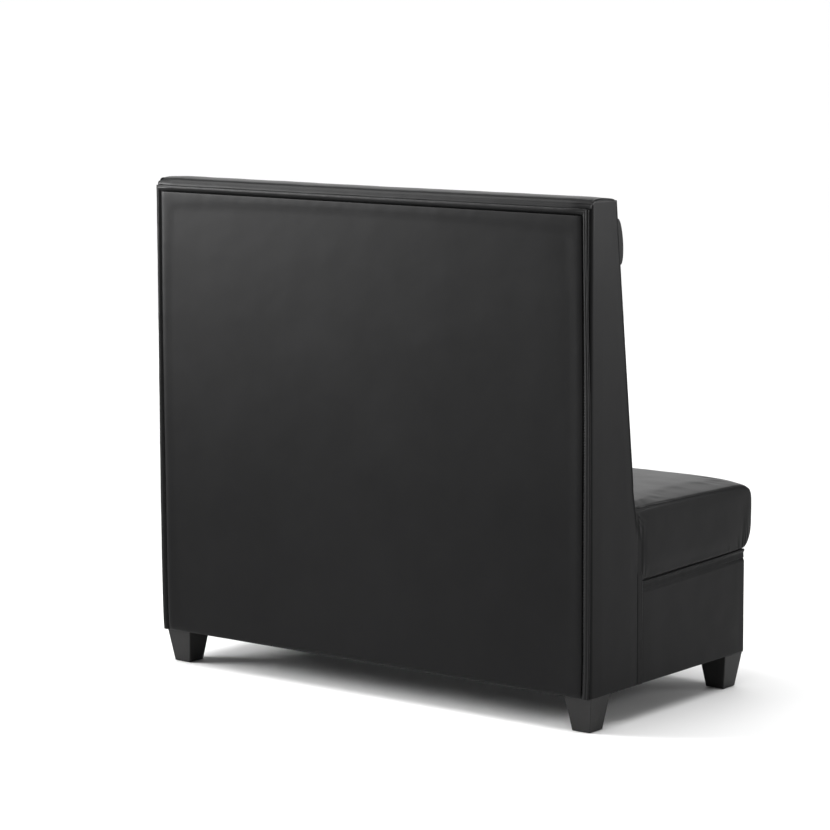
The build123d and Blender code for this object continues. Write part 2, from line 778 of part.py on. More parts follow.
with BuildPart() as seat_foam:
    cushion_body(cover_thickness + soft_gap)
    slab(-board_half, board_half, *board_depths, joint_height, board_top, mode=Mode.SUBTRACT)
finish(seat_foam, "seat_foam")


def above_seam(mode):
    """Room above the seam that runs round the top panel of the cushion."""
    high = overall_height
    seam_outline = [
        (0, seat_line_height - cover_thickness),
        (front_shoulder_depth, front_shoulder_height - cover_thickness),
        (cushion_depth + overrun, front_seam_height),
        (cushion_depth + overrun, high),
        (0, high),
    ]
    side_prism(seam_outline, -half_width - overrun, half_width + overrun, mode)


with BuildPart() as cushion_top_cover:
    cushion_body(0)
    cushion_body(cover_thickness, overrun, mode=Mode.SUBTRACT)
    above_seam(Mode.INTERSECT)
finish(cushion_top_cover, "cushion_top_cover")

with BuildPart() as cushion_boxing:
    cushion_body(0)
    cushion_body(cover_thickness, overrun, mode=Mode.SUBTRACT)
    above_seam(Mode.SUBTRACT)
    for hand in side_hands.values():
        slab(*hand_range(hand, padding_half - soft_gap, half_width + overrun), 0, strip_front_depth + soft_gap,
             joint_height - overrun, knee_height + soft_gap, mode=Mode.SUBTRACT)
finish(cushion_boxing, "cushion_boxing")
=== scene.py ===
import bpy
import bmesh
import json
from math import cos, exp, pi, radians, sin, sqrt
from mathutils import Matrix, Vector, noise


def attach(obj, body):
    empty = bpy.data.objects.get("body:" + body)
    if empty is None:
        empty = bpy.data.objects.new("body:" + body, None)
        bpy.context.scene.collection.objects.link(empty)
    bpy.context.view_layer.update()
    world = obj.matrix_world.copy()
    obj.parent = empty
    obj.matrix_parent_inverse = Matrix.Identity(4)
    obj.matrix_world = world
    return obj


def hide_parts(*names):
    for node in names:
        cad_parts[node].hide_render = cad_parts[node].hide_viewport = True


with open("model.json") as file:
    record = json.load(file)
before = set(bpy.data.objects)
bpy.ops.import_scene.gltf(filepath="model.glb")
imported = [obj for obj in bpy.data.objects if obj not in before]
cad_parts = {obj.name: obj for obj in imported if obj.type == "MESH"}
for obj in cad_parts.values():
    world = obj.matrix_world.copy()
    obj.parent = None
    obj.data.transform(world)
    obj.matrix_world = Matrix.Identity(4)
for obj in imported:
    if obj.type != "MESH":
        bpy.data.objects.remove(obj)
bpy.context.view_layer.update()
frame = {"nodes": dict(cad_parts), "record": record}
print("booth: frame loaded,", len(frame["nodes"]), "nodes")

# Metres. X runs along the booth, the sitter faces -Y, the floor is Z = 0.
# Depths run forward (-Y) from the back plane, the flat rear of the back's frame.
booth = {
    "backPlane": 0.3015,
    "half": 0.5850,  # half the length over the side covers
    "low": 0.0750,  # underside of the back and the base, on the legs
    "backDepth": 0.1685,  # depth of the back at its foot
    "topDepth": 0.0903,  # and at its top
    "leanFootDepth": 0.1533,  # and where its front starts to lean
    "leanFootHeight": 0.500,
    "kneeHeight": 0.394,  # below this the front edge is upright
    "top": 1.0905,
    "seamHeight": 1.0810,  # where the cap is sewn to the sides
    "baseDepth": 0.575,
    "stripDepth": 0.1865,  # front of the strip between the back and the base
}
mergeDistance = 0.00002
vinylThickness = {"panel": 0.0012, "cover": 0.0010, "strip": 0.0006}


def at(x, depth, z):
    return Vector((x, booth["backPlane"] - depth, z))


def leanDepth(z):
    share = (booth["top"] - z) / (booth["top"] - booth["leanFootHeight"])
    return booth["topDepth"] + (booth["leanFootDepth"] - booth["topDepth"]) * share


def frontDepth(z):
    # the front edge of the back's side: upright, then flared, then leaning
    if z >= booth["leanFootHeight"]:
        return leanDepth(z)
    if z <= booth["kneeHeight"]:
        return booth["backDepth"]
    share = (z - booth["kneeHeight"]) / (booth["leanFootHeight"] - booth["kneeHeight"])
    return mix(booth["backDepth"], booth["leanFootDepth"], ease(share))


def clamp(value, low=0.0, high=1.0):
    return max(low, min(high, value))


def ease(t):
    t = clamp(t)
    return t * t * (3 - 2 * t)


def mix(a, b, t):
    return a + (b - a) * t


def hump(distance, width):
    # a soft bell that is 1 at no distance
    return exp(-(distance / width) ** 2)


def quarter(t):
    # rises like a quarter circle from 0 to 1
    return sqrt(1 - (1 - clamp(t)) ** 2)


def between(pairs, value):
    # straight lines through (place, amount) pairs
    if value <= pairs[0][0]:
        return pairs[0][1]
    for (low, first), (high, second) in zip(pairs, pairs[1:]):
        if value <= high:
            return mix(first, second, (value - low) / (high - low))
    return pairs[-1][1]


def wave(x, y, z, size, seed=0.0):
    # smooth noise from -1 to 1 whose bumps are about this size
    return noise.noise(Vector((x / size + seed, y / size - seed, z / size + 3 * seed)))


def alongCurve(points, t):
    # a smooth curve through the points, t running from 0 to 1 over them
    last = len(points) - 1
    place = clamp(t) * last
    step = min(int(place), last - 1)
    rest = place - step
    before = points[max(step - 1, 0)]
    start, end = points[step], points[step + 1]
    after = points[min(step + 2, last)]
    made = []
    for a, b, c, d in zip(before, start, end, after):
        made.append(0.5 * (2 * b + (c - a) * rest + (2 * a - 5 * b + 4 * c - d) * rest ** 2
                           + (3 * b - a - 3 * c + d) * rest ** 3))
    return made


def shareOf(value, low, high):
    return (value - low) / (high - low)


def rolledEdge(t, span, radius, share):
    # how far across a point lies, and how far it has risen round the rolled edge
    if t < share:
        turn = t / share * pi / 2
        return radius * (1 - cos(turn)), sin(turn)
    if t > 1 - share:
        turn = (1 - t) / share * pi / 2
        return span - radius * (1 - cos(turn)), sin(turn)
    return radius + (span - 2 * radius) * (t - share) / (1 - 2 * share), 1.0


def clothGrid(across, up, place):
    # a grid of cloth whose points are moved to their places
    bm = bmesh.new()
    bmesh.ops.create_grid(bm, x_segments=across, y_segments=up, size=0.5)
    for vertex in bm.verts:
        vertex.co = place(vertex.co.x + 0.5, vertex.co.y + 0.5)
    bm.normal_update()
    return bm


def faceTowards(bm, direction):
    total = Vector()
    for face in bm.faces:
        total += face.normal * face.calc_area()
    if total.dot(Vector(direction)) < 0:
        bmesh.ops.reverse_faces(bm, faces=bm.faces)


def joined(strips):
    # one mesh from several grids, each turned to face its own way
    whole = bmesh.new()
    for strip, direction in strips:
        faceTowards(strip, direction)
        held = bpy.data.meshes.new("strip")
        strip.to_mesh(held)
        strip.free()
        whole.from_mesh(held)
        bpy.data.meshes.remove(held)
    bmesh.ops.remove_doubles(whole, verts=whole.verts, dist=mergeDistance)
    return whole


# Padding under pressure: how the cloth over it resists
padding = {
    "pressure": 3.0,
    "frames": 20,
    "quality": 3,
    "mass": 0.4,
    "stretch": 18.0,
    "shear": 8.0,
    "bending": 6.0,
}


def settle(name, bm, held, limit):
    # blow the padding up with a cloth simulation, with each point's move kept under the limit
    # held gives how firmly each place is sewn down, from 0 to 1
    mesh = bpy.data.meshes.new("pressed")
    bm.to_mesh(mesh)
    pad = bpy.data.objects.new("pressed", mesh)
    bpy.context.scene.collection.objects.link(pad)
    sewn = pad.vertex_groups.new(name="sewn")
    for vertex in mesh.vertices:
        sewn.add([vertex.index], held(vertex.co), "REPLACE")
    cloth = pad.modifiers.new("cloth", "CLOTH")
    settings = cloth.settings
    settings.quality = padding["quality"]
    settings.mass = padding["mass"]
    settings.tension_stiffness = settings.compression_stiffness = padding["stretch"]
    settings.shear_stiffness = padding["shear"]
    settings.bending_stiffness = padding["bending"]
    settings.vertex_group_mass = "sewn"
    settings.use_pressure = True
    settings.uniform_pressure_force = padding["pressure"]
    settings.effector_weights.gravity = 0.0
    cloth.point_cache.frame_start, cloth.point_cache.frame_end = 1, padding["frames"]
    for number in range(1, padding["frames"] + 1):
        bpy.context.scene.frame_set(number)
    shaped = pad.evaluated_get(bpy.context.evaluated_depsgraph_get())
    places = [vertex.co.copy() for vertex in shaped.data.vertices]
    most = 0.0
    for vertex, place in zip(bm.verts, places):
        move = place - vertex.co
        most = max(most, move.length)
        if move.length > limit:
            move *= limit / move.length
        vertex.co += move
    bpy.context.scene.frame_set(1)
    bpy.data.objects.remove(pad)
    bpy.data.meshes.remove(mesh)
    print("booth:", name, "settled, moved up to", round(most * 1000, 2), "mm before the limit")
    return bm


def addPiece(name, bm, material, replaced=(), thickness=0.0, outward=None, closed=False):
    bm.normal_update()
    if closed:
        bmesh.ops.remove_doubles(bm, verts=bm.verts, dist=mergeDistance)
        bmesh.ops.recalc_face_normals(bm, faces=bm.faces)
    elif outward:
        faceTowards(bm, outward)
    for face in bm.faces:
        face.smooth = True
    mesh = bpy.data.meshes.new(name)
    bm.to_mesh(mesh)
    bm.free()
    mesh.materials.append(material)
    piece = bpy.data.objects.new(name, mesh)
    bpy.context.scene.collection.objects.link(piece)
    if thickness:
        wall = piece.modifiers.new("thickness", "SOLIDIFY")
        wall.thickness = thickness
        wall.offset = -1.0
    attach(piece, "root")
    if replaced:
        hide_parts(*replaced)
    return piece


# Shader maths as plain expressions: a Wire is one socket of a material's nodes
class Wire:
    def __init__(self, shader, socket):
        self.shader = shader
        self.socket = socket

    def maths(self, kind, *values):
        return self.shader.node("ShaderNodeMath", {"operation": kind}, dict(enumerate(values)))

    def __add__(self, other):
        return self.maths("ADD", self, other)

    def __radd__(self, other):
        return self.maths("ADD", other, self)

    def __sub__(self, other):
        return self.maths("SUBTRACT", self, other)

    def __rsub__(self, other):
        return self.maths("SUBTRACT", other, self)

    def __mul__(self, other):
        return self.maths("MULTIPLY", self, other)

    def __rmul__(self, other):
        return self.maths("MULTIPLY", other, self)

    def __gt__(self, other):
        return self.maths("GREATER_THAN", self, other)


class Shader:
    def __init__(self, name):
        self.material = bpy.data.materials.new(name)
        self.material.use_nodes = True
        self.tree = self.material.node_tree
        self.tree.nodes.clear()
        self.output = self.tree.nodes.new("ShaderNodeOutputMaterial")
        self.surface = self.tree.nodes.new("ShaderNodeBsdfPrincipled")
        self.tree.links.new(self.surface.outputs["BSDF"], self.output.inputs["Surface"])
        self.coordinates = self.node("ShaderNodeTexCoord", output="Object")

    def put(self, node, name, value):
        socket = node.inputs[name]
        if isinstance(value, Wire):
            self.tree.links.new(value.socket, socket)
        else:
            socket.default_value = value

    def node(self, kind, settings=None, inputs=None, output=0):
        made = self.tree.nodes.new(kind)
        for name, value in (settings or {}).items():
            setattr(made, name, value)
        for name, value in (inputs or {}).items():
            self.put(made, name, value)
        return Wire(self, made.outputs[output])

    def finish(self, **sockets):
        for name, value in sockets.items():
            self.put(self.surface, name.replace("_", " "), value)
        return self.material

    def noiseAt(self, scale, detail=3.0, roughness=0.55, place=None, distortion=0.0):
        return self.node("ShaderNodeTexNoise", None, {
            "Vector": place or self.coordinates, "Scale": scale, "Detail": detail,
            "Roughness": roughness, "Distortion": distortion}, "Fac")

    def cellsAt(self, scale, randomness=1.0):
        return self.node("ShaderNodeTexVoronoi", {"feature": "F1"}, {
            "Vector": self.coordinates, "Scale": scale, "Randomness": randomness}, "Distance")

    def stretched(self, scale):
        return self.node("ShaderNodeMapping", {"vector_type": "POINT"},
                         {"Vector": self.coordinates, "Scale": scale}, "Vector")

    def colourMix(self, factor, first, second):
        made = self.tree.nodes.new("ShaderNodeMix")
        made.data_type = "RGBA"
        self.put(made, 0, factor)
        for place, colour in ((6, first), (7, second)):
            self.put(made, place, colour if isinstance(colour, Wire) else (*colour, 1))
        return Wire(self, made.outputs[2])

    def bump(self, height, distance, strength=1.0, normal=None):
        inputs = {"Height": height, "Distance": distance, "Strength": strength}
        if normal is not None:
            inputs["Normal"] = normal
        return self.node("ShaderNodeBump", None, inputs, "Normal")


# Materials
vinyl = {
    "dark": (0.0030, 0.0030, 0.0032),
    "light": (0.0052, 0.0052, 0.0054),
    "roughness": 0.42,
    "specular": 0.085,
    "tightSpecular": 0.112,
    "poreScale": 900.0,
    "poreDepth": 0.00006,
    "rippleDepth": 0.0005,
}


def makeVinyl(name, specular):
    shader = Shader(name)
    pores = shader.cellsAt(vinyl["poreScale"])
    grain = shader.noiseAt(2200.0, 2.0)
    ripples = shader.noiseAt(16.0, 2.0, 0.45)
    smudges = shader.noiseAt(5.0, 4.0, 0.6)
    fine = shader.bump(pores * 0.6 + grain * 0.4, vinyl["poreDepth"], 0.6)
    soft = shader.bump(ripples, vinyl["rippleDepth"], 1.0, fine)
    return shader.finish(
        Base_Color=shader.colourMix(smudges, vinyl["dark"], vinyl["light"]),
        Roughness=vinyl["roughness"] + (smudges - 0.5) * 0.12 + (grain - 0.5) * 0.06,
        Specular_IOR_Level=specular,
        Normal=soft)


def makeThread():
    shader = Shader("stitchThread")
    twist = shader.noiseAt(1800.0, 2.0)
    return shader.finish(
        Base_Color=shader.colourMix(twist, (0.0060, 0.0060, 0.0060), (0.0110, 0.0110, 0.0110)),
        Roughness=0.6 + (twist - 0.5) * 0.2, Specular_IOR_Level=0.14,
        Normal=shader.bump(twist, 0.0001, 0.6))


def makeLegWood():
    shader = Shader("lacqueredLegs")
    streaks = shader.noiseAt(38.0, 5.0, 0.65, shader.stretched((1.0, 1.0, 0.09)), 0.6)
    pores = shader.noiseAt(420.0, 2.0, 0.6, shader.stretched((1.0, 1.0, 0.05)))
    scuffs = shader.noiseAt(26.0, 4.0, 0.7)
    return shader.finish(
        Base_Color=shader.colourMix(streaks, (0.0052, 0.0050, 0.0050), (0.0125, 0.0122, 0.0120)),
        Roughness=0.44 + (scuffs - 0.5) * 0.22 + (pores - 0.5) * 0.1,
        Specular_IOR_Level=0.24,
        Normal=shader.bump(pores * 0.7 + streaks * 0.5, 0.00022, 0.7))


def makePlywood():
    shader = Shader("birchPlywood")
    grain = shader.noiseAt(9.0, 6.0, 0.62, shader.stretched((0.35, 3.0, 3.0)), 0.8)
    fibres = shader.noiseAt(260.0, 2.0, 0.6, shader.stretched((0.06, 1.0, 1.0)))
    tone = shader.colourMix(grain, (0.36, 0.235, 0.125), (0.62, 0.46, 0.29))
    return shader.finish(Base_Color=shader.colourMix(fibres * 0.35, tone, (0.30, 0.19, 0.10)),
                         Roughness=0.62 + (fibres - 0.5) * 0.16,
                         Normal=shader.bump(fibres, 0.00018, 0.5))


def makePine():
    shader = Shader("pineBlocks")
    rings = shader.noiseAt(22.0, 4.0, 0.6, shader.stretched((0.2, 1.6, 2.4)), 1.2)
    fibres = shader.noiseAt(300.0, 2.0, 0.6, shader.stretched((0.05, 1.0, 1.0)))
    return shader.finish(Base_Color=shader.colourMix(rings, (0.46, 0.29, 0.14), (0.70, 0.52, 0.31)),
                         Roughness=0.6 + (fibres - 0.5) * 0.2, Normal=shader.bump(fibres, 0.0002, 0.5))


def makeHardboard():
    shader = Shader("hardboardSheet")
    fibres = shader.noiseAt(350.0, 4.0, 0.7)
    clouds = shader.noiseAt(12.0, 3.0)
    return shader.finish(Base_Color=shader.colourMix(clouds, (0.115, 0.062, 0.032), (0.175, 0.10, 0.055)),
                         Roughness=0.5 + (fibres - 0.5) * 0.2, Normal=shader.bump(fibres, 0.0001, 0.4))


def makeFoam():
    shader = Shader("cushionFoam")
    cells = shader.cellsAt(700.0)
    clouds = shader.noiseAt(9.0, 3.0)
    return shader.finish(Base_Color=shader.colourMix(clouds, (0.60, 0.50, 0.28), (0.74, 0.66, 0.42)),
                         Roughness=0.9 + (cells - 0.5) * 0.1, Normal=shader.bump(cells, 0.0006, 0.7))


def makeWadding():
    shader = Shader("polyesterWadding")
    strands = shader.noiseAt(420.0, 5.0, 0.7, None, 1.5)
    clouds = shader.noiseAt(30.0, 3.0)
    return shader.finish(Base_Color=shader.colourMix(clouds, (0.70, 0.70, 0.68), (0.84, 0.84, 0.82)),
                         Roughness=0.92 + (strands - 0.5) * 0.1, Normal=shader.bump(strands, 0.0008, 0.6))


def makeDustCloth():
    shader = Shader("nonWovenDustCloth")
    fibres = shader.noiseAt(900.0, 4.0, 0.7, None, 2.0)
    pressed = shader.cellsAt(450.0, 0.15) > 0.3
    return shader.finish(Base_Color=shader.colourMix(pressed * 0.6 + fibres * 0.4, (0.008, 0.008, 0.0085),
                                                     (0.020, 0.020, 0.021)),
                         Roughness=0.85 + (fibres - 0.5) * 0.15, Specular_IOR_Level=0.25,
                         Normal=shader.bump(fibres * 0.6 + pressed * 0.4, 0.0002, 0.6))


def makeSteel():
    shader = Shader("zincPlatedSteel")
    brushed = shader.noiseAt(600.0, 3.0, 0.6)
    return shader.finish(Base_Color=shader.colourMix(brushed, (0.50, 0.51, 0.53), (0.66, 0.67, 0.69)),
                         Metallic=1.0, Roughness=0.32 + (brushed - 0.5) * 0.2,
                         Normal=shader.bump(brushed, 0.00004, 0.5))


def makeNylon():
    shader = Shader("nylonGlides")
    speckle = shader.noiseAt(500.0, 3.0, 0.6)
    return shader.finish(Base_Color=shader.colourMix(speckle, (0.016, 0.016, 0.017), (0.030, 0.030, 0.032)),
                         Roughness=0.5 + (speckle - 0.5) * 0.2, Normal=shader.bump(speckle, 0.00008, 0.5))


finishes = {
    "black_vinyl": makeVinyl("blackVinyl", vinyl["specular"]),
    "foam": makeFoam(),
    "wadding": makeWadding(),
    "dust_cloth": makeDustCloth(),
    "plywood": makePlywood(),
    "block_wood": makePine(),
    "hardboard": makeHardboard(),
    "black_wood": makeLegWood(),
    "glide_plastic": makeNylon(),
    "zinc_steel": makeSteel(),
}
thread = makeThread()
# the border is pulled tight, which makes it shine a little more
tightVinyl = makeVinyl("tightBlackVinyl", vinyl["tightSpecular"])
for entry in frame["record"]["subparts"]:
    node = frame["nodes"][entry["node"]]
    node.data.materials.clear()
    node.data.materials.append(finishes[entry["material_slot"]])
print("booth: materials made")

black = finishes["black_vinyl"]

# Stitches: short slanted threads laid along a line of places
stitching = {"pitch": 0.0058, "length": 0.0040, "width": 0.0009, "sunk": 0.0003, "look": 0.0008}


def sewStitches(name, runs):
    # each run is (place function of a distance, length, outward direction, lean)
    bm = bmesh.new()
    for place, length, outward, lean in runs:
        for number in range(int(length / stitching["pitch"])):
            here = (number + 0.5) * stitching["pitch"]
            spot = place(here)
            along = (place(here + stitching["look"]) - spot).normalized()
            out = Vector(outward).normalized()
            along = (along + along.cross(out).normalized() * lean).normalized()
            side = along.cross(out).normalized()
            out = side.cross(along).normalized()
            turn = Matrix((along, side, out)).transposed().to_4x4()
            long, thick = stitching["length"] / 2, stitching["width"] / 2
            size = Matrix.Diagonal((long, thick, thick, 1))
            where = Matrix.Translation(spot - out * stitching["sunk"])
            bmesh.ops.create_uvsphere(bm, u_segments=6, v_segments=4, radius=1.0, matrix=where @ turn @ size)
    piece = addPiece(name, bm, thread)
    print("booth:", name, len(piece.data.polygons), "faces")
    return piece


# Outside back: one padded panel inside a sewn border
outsideBack = {
    "stitchHalf": 0.5706,  # half the width at the stitch line
    "stitchTop": 1.0588,
    "shift": 0.0025,  # the panel sits a little off the middle
    # the stitch line bows out at this height, closes in towards the top and is pulled in at the foot
    "bulge": 0.0013,
    "bulgeHeight": 0.66,
    "bulgeReach": 0.22,
    "topIn": 0.0016,
    "topInFrom": 0.85,
    "topInRise": 0.2,
    "footIn": 0.0032,
    "footInRise": 0.035,
    "edgeOut": 0.0010,
    "standOut": 0.0056,
    "crown": 0.0014,
    # the rolled edge: its width, its share of the grid, and how high it starts at the top and on the left
    "roll": 0.013,
    "rollShare": 0.09,
    "topLift": 0.90,
    "leftLift": 0.62,
    "unevenness": 0.0005,
    # short ripples beside the seam
    "ripple": 0.00035,
    "rippleIn": 0.010,
    "rippleWidth": 0.008,
    "rippleSize": 0.018,
    # the seam holds the padding down as far as this
    "heldFrom": 0.001,
    "heldWidth": 0.045,
    "settleLimit": 0.0008,
    "grid": (150, 140),
}


def footDraw(z):
    return outsideBack["footIn"] * exp(-(z - booth["low"]) / outsideBack["footInRise"])


def stitchLine(z):
    panel = outsideBack
    half = panel["stitchHalf"] + panel["bulge"] * hump(z - panel["bulgeHeight"], panel["bulgeReach"])
    half -= panel["topIn"] * ease((z - panel["topInFrom"]) / panel["topInRise"])
    return half - footDraw(z)


def outsideBackPlace(u, v):
    panel = outsideBack
    half = panel["stitchHalf"]
    width, height = 2 * half, panel["stitchTop"] - booth["low"]
    across, liftAcross = rolledEdge(u, width, panel["roll"], panel["rollShare"])
    up, liftUp = rolledEdge(v, height, panel["roll"], panel["rollShare"])
    if v > 0.5:
        liftUp = mix(panel["topLift"], 1.0, liftUp)
    if u < 0.5:
        liftAcross = mix(panel["leftLift"], 1.0, liftAcross)
    x, z = across - half, booth["low"] + up
    lift = liftAcross * liftUp
    out = panel["edgeOut"] + panel["standOut"] * lift
    out += panel["crown"] * cos(x / half * pi / 2) * sin(up / height * pi)
    out += panel["unevenness"] * lift * (wave(x, 0, z, 0.21) + 0.35 * wave(x, 2, z, 0.07))
    edge = min(across, width - across, height - up)
    run = z if min(across, width - across) < height - up else x
    near = hump(edge - panel["rippleIn"], panel["rippleWidth"])
    out += panel["ripple"] * near * wave(run, 0, 5, panel["rippleSize"])
    return at(panel["shift"] + x * stitchLine(z) / half, -out, z)


def outsideBackHeld(place):
    fromSide = stitchLine(place.z) - abs(place.x - outsideBack["shift"])
    edge = min(fromSide, outsideBack["stitchTop"] - place.z, place.z - booth["low"])
    return 1 - ease((edge - outsideBack["heldFrom"]) / outsideBack["heldWidth"])


panelGrid = settle("outside back", clothGrid(*outsideBack["grid"], outsideBackPlace), outsideBackHeld,
                   outsideBack["settleLimit"])
addPiece("outsideBackPanel", panelGrid, black, ("outside_back_cover", "outside_back_padding"),
         thickness=vinylThickness["panel"], outward=(0, 1, 0))

border = {
    # distance out from the stitch line, and how far it stands behind the back plane
    "profile": [(-0.0050, 0.0004), (-0.0014, 0.0007), (-0.0004, 0.0015), (0.0004, 0.0023), (0.0018, 0.0031),
                (0.0036, 0.0039), (0.0054, 0.0046), (0.0072, 0.0052), (0.0085, 0.0054), (0.0097, 0.0051),
                (0.0109, 0.0046), (0.0120, 0.0047), (0.0131, 0.0051), (0.0140, 0.0052), (0.0148, 0.0047),
                (0.0152, 0.0034), (0.0150, 0.0020), (0.0138, 0.0008), (0.0118, 0.0000)],
    # along the top it stands out further, away from the corners
    "topStands": [0.0004, 0.0005, 0.0010, 0.0018, 0.0026, 0.0036, 0.0048, 0.0060, 0.0068, 0.0071, 0.0070,
                  0.0070, 0.0069, 0.0064, 0.0055, 0.0040, 0.0022, 0.0008, 0.0000],
    "topBlend": 0.05,
    "topReach": 0.94,
    "topLength": 1.13,
    "topStart": 0.563,
    "profileWidth": 0.0152,
    # the outer edge: its width out from the seam, a flare low down, and how far each side closes in upwards
    "width": {"right": 0.0134, "left": 0.0174},
    "flare": 0.0010,
    "flareHeight": 0.32,
    "flareReach": 0.22,
    "rightHalf": 0.5702,
    "rightIn": 0.0024,
    "rightInFrom": 0.45,
    "rightInRise": 0.6,
    "leftIn": 0.0062,
    "leftInFrom": 0.60,
    "leftInRise": 0.38,
    # the seam's edge puckers between the stitches, and the whole strip sways, both less at the corners
    "pucker": 0.0009,
    "puckerOut": 0.0010,
    "puckerWidth": 0.0018,
    "wander": 0.0004,
    "cornerCalm": 0.02,
    "segmentsAcross": 18,
    "segmentsAlong": {"right": 800, "top": 940, "left": 800},
}


def borderX(side, z, out):
    # from the stitch line out to the border's outer edge, whose two sides run a little differently
    flare = border["flare"] * hump(z - border["flareHeight"], border["flareReach"])
    if side == "right":
        hand = 1
        closing = border["rightIn"] * ease((z - border["rightInFrom"]) / border["rightInRise"])
        edge = border["rightHalf"] - closing - footDraw(z)
    else:
        hand = -1
        closing = border["leftIn"] * ease((z - border["leftInFrom"]) / border["leftInRise"])
        edge = stitchLine(z) - closing
    edge += border["width"][side] + flare
    return outsideBack["shift"] + hand * mix(stitchLine(z), edge, out / border["profileWidth"])


def borderPlace(side):
    # one straight length of border: along the right edge, the top edge or the left edge
    def place(u, v):
        out, stand = alongCurve(border["profile"], v)
        high = outsideBack["stitchTop"] + out * border["topReach"]
        if side == "top":
            z = high
            x = mix(borderX("left", z, out), borderX("right", z, out), u)
            run = x + border["topStart"]
            fromCorner = min(u, 1 - u) * border["topLength"]
            (steep,) = alongCurve([(value,) for value in border["topStands"]], v)
            stand = mix(stand, steep, ease(fromCorner / border["topBlend"]))
        else:
            hand = 1 if side == "right" else -1
            z = mix(booth["low"], high, u)
            x = borderX(side, z, out)
            run = z - booth["low"]
            fromCorner = high - z
        calm = clamp(fromCorner / border["cornerCalm"])
        bite = calm * border["pucker"] * cos(2 * pi * run / stitching["pitch"])
        bite *= hump(out - border["puckerOut"], border["puckerWidth"])
        stand += bite
        sway = calm * border["wander"] * clamp(out / 0.015)
        stand += sway * (wave(run, x, 0, 0.045) + 0.6 * wave(run, 1, 0, 0.013))
        shift = 0.5 * sway * wave(run, 2 + x, 0, 0.06) - bite
        if side == "top":
            z += shift
        else:
            x += shift * hand
        return at(x, -stand, z)
    return place


borderMesh = joined([(clothGrid(count, border["segmentsAcross"], borderPlace(side)), (0, 1, 0))
                     for side, count in border["segmentsAlong"].items()])
addPiece("outsideBackBorder", borderMesh, tightVinyl, ("outside_back_border",),
         thickness=vinylThickness["strip"])

# The border's stitches: how far out from the stitch line and behind the back plane, and each row's length
borderSeam = {"out": 0.0010, "sideStand": 0.0030, "topStand": 0.0022, "sideRun": 0.981, "topRun": 1.131,
              "lean": 0.55, "tilt": 0.6}


def borderSeamPlace(side):
    def place(distance):
        if side == "top":
            return at(distance - border["topStart"], -borderSeam["topStand"],
                      outsideBack["stitchTop"] + borderSeam["out"])
        z = booth["low"] + distance
        return at(borderX(side, z, borderSeam["out"]), -borderSeam["sideStand"], z)
    return place


sewStitches("borderStitches", [
    (borderSeamPlace("left"), borderSeam["sideRun"], (borderSeam["tilt"], 1, 0), borderSeam["lean"]),
    (borderSeamPlace("right"), borderSeam["sideRun"], (-borderSeam["tilt"], 1, 0), -borderSeam["lean"]),
    (borderSeamPlace("top"), borderSeam["topRun"], (0, 1, -borderSeam["tilt"]), borderSeam["lean"]),
])
print("booth: outside back made")

# Sides of the back: a tapered padded cover that wraps round its rear and front edges
backSide = {
    # height and depth of the rear edge, which leaves a dark groove beside the border
    "rearEdge": [(0.115, 0.0012), (0.280, 0.0020), (0.485, 0.0018), (0.690, 0.0026), (0.890, 0.0038),
                 (1.060, 0.0050)],
    # depth and height of the top edge, cut off at the rear corner and sloping a little to the front
    "topEdge": [(0.000, 1.0712), (0.001, 1.0722), (0.004, 1.0806), (0.009, 1.0858), (0.016, 1.0880),
                (0.030, 1.0876), (0.0903, 1.0848)],
    "topEdgeFrom": 1.030,
    "topEdgeRise": 0.051,
    # where the parts across end: flange under the border, groove wall, rear rounding, flat, front rounding
    "shares": (0.025, 0.06, 0.22, 0.80, 0.92),
    "flangeReach": 0.0150,
    "flangeDepth": -0.0003,
    "grooveDepth": 0.0066,
    "rearRound": 0.0090,
    "frontRound": 0.0040,
    "seamRound": 0.0022,  # in place of it, low down beside the strip
    "seamTop": 0.380,
    "wrap": 0.011,
    "seamWrap": 0.002,
    "wrapBack": 0.0016,
    "topRound": 0.0016,
    "topShare": 0.025,
    "puff": 0.0008,
    # the ridge along the front edge
    "ridge": 0.0014,
    "ridgeIn": 0.0028,
    "ridgeWidth": 0.0022,
    "grid": (120, 220),
}


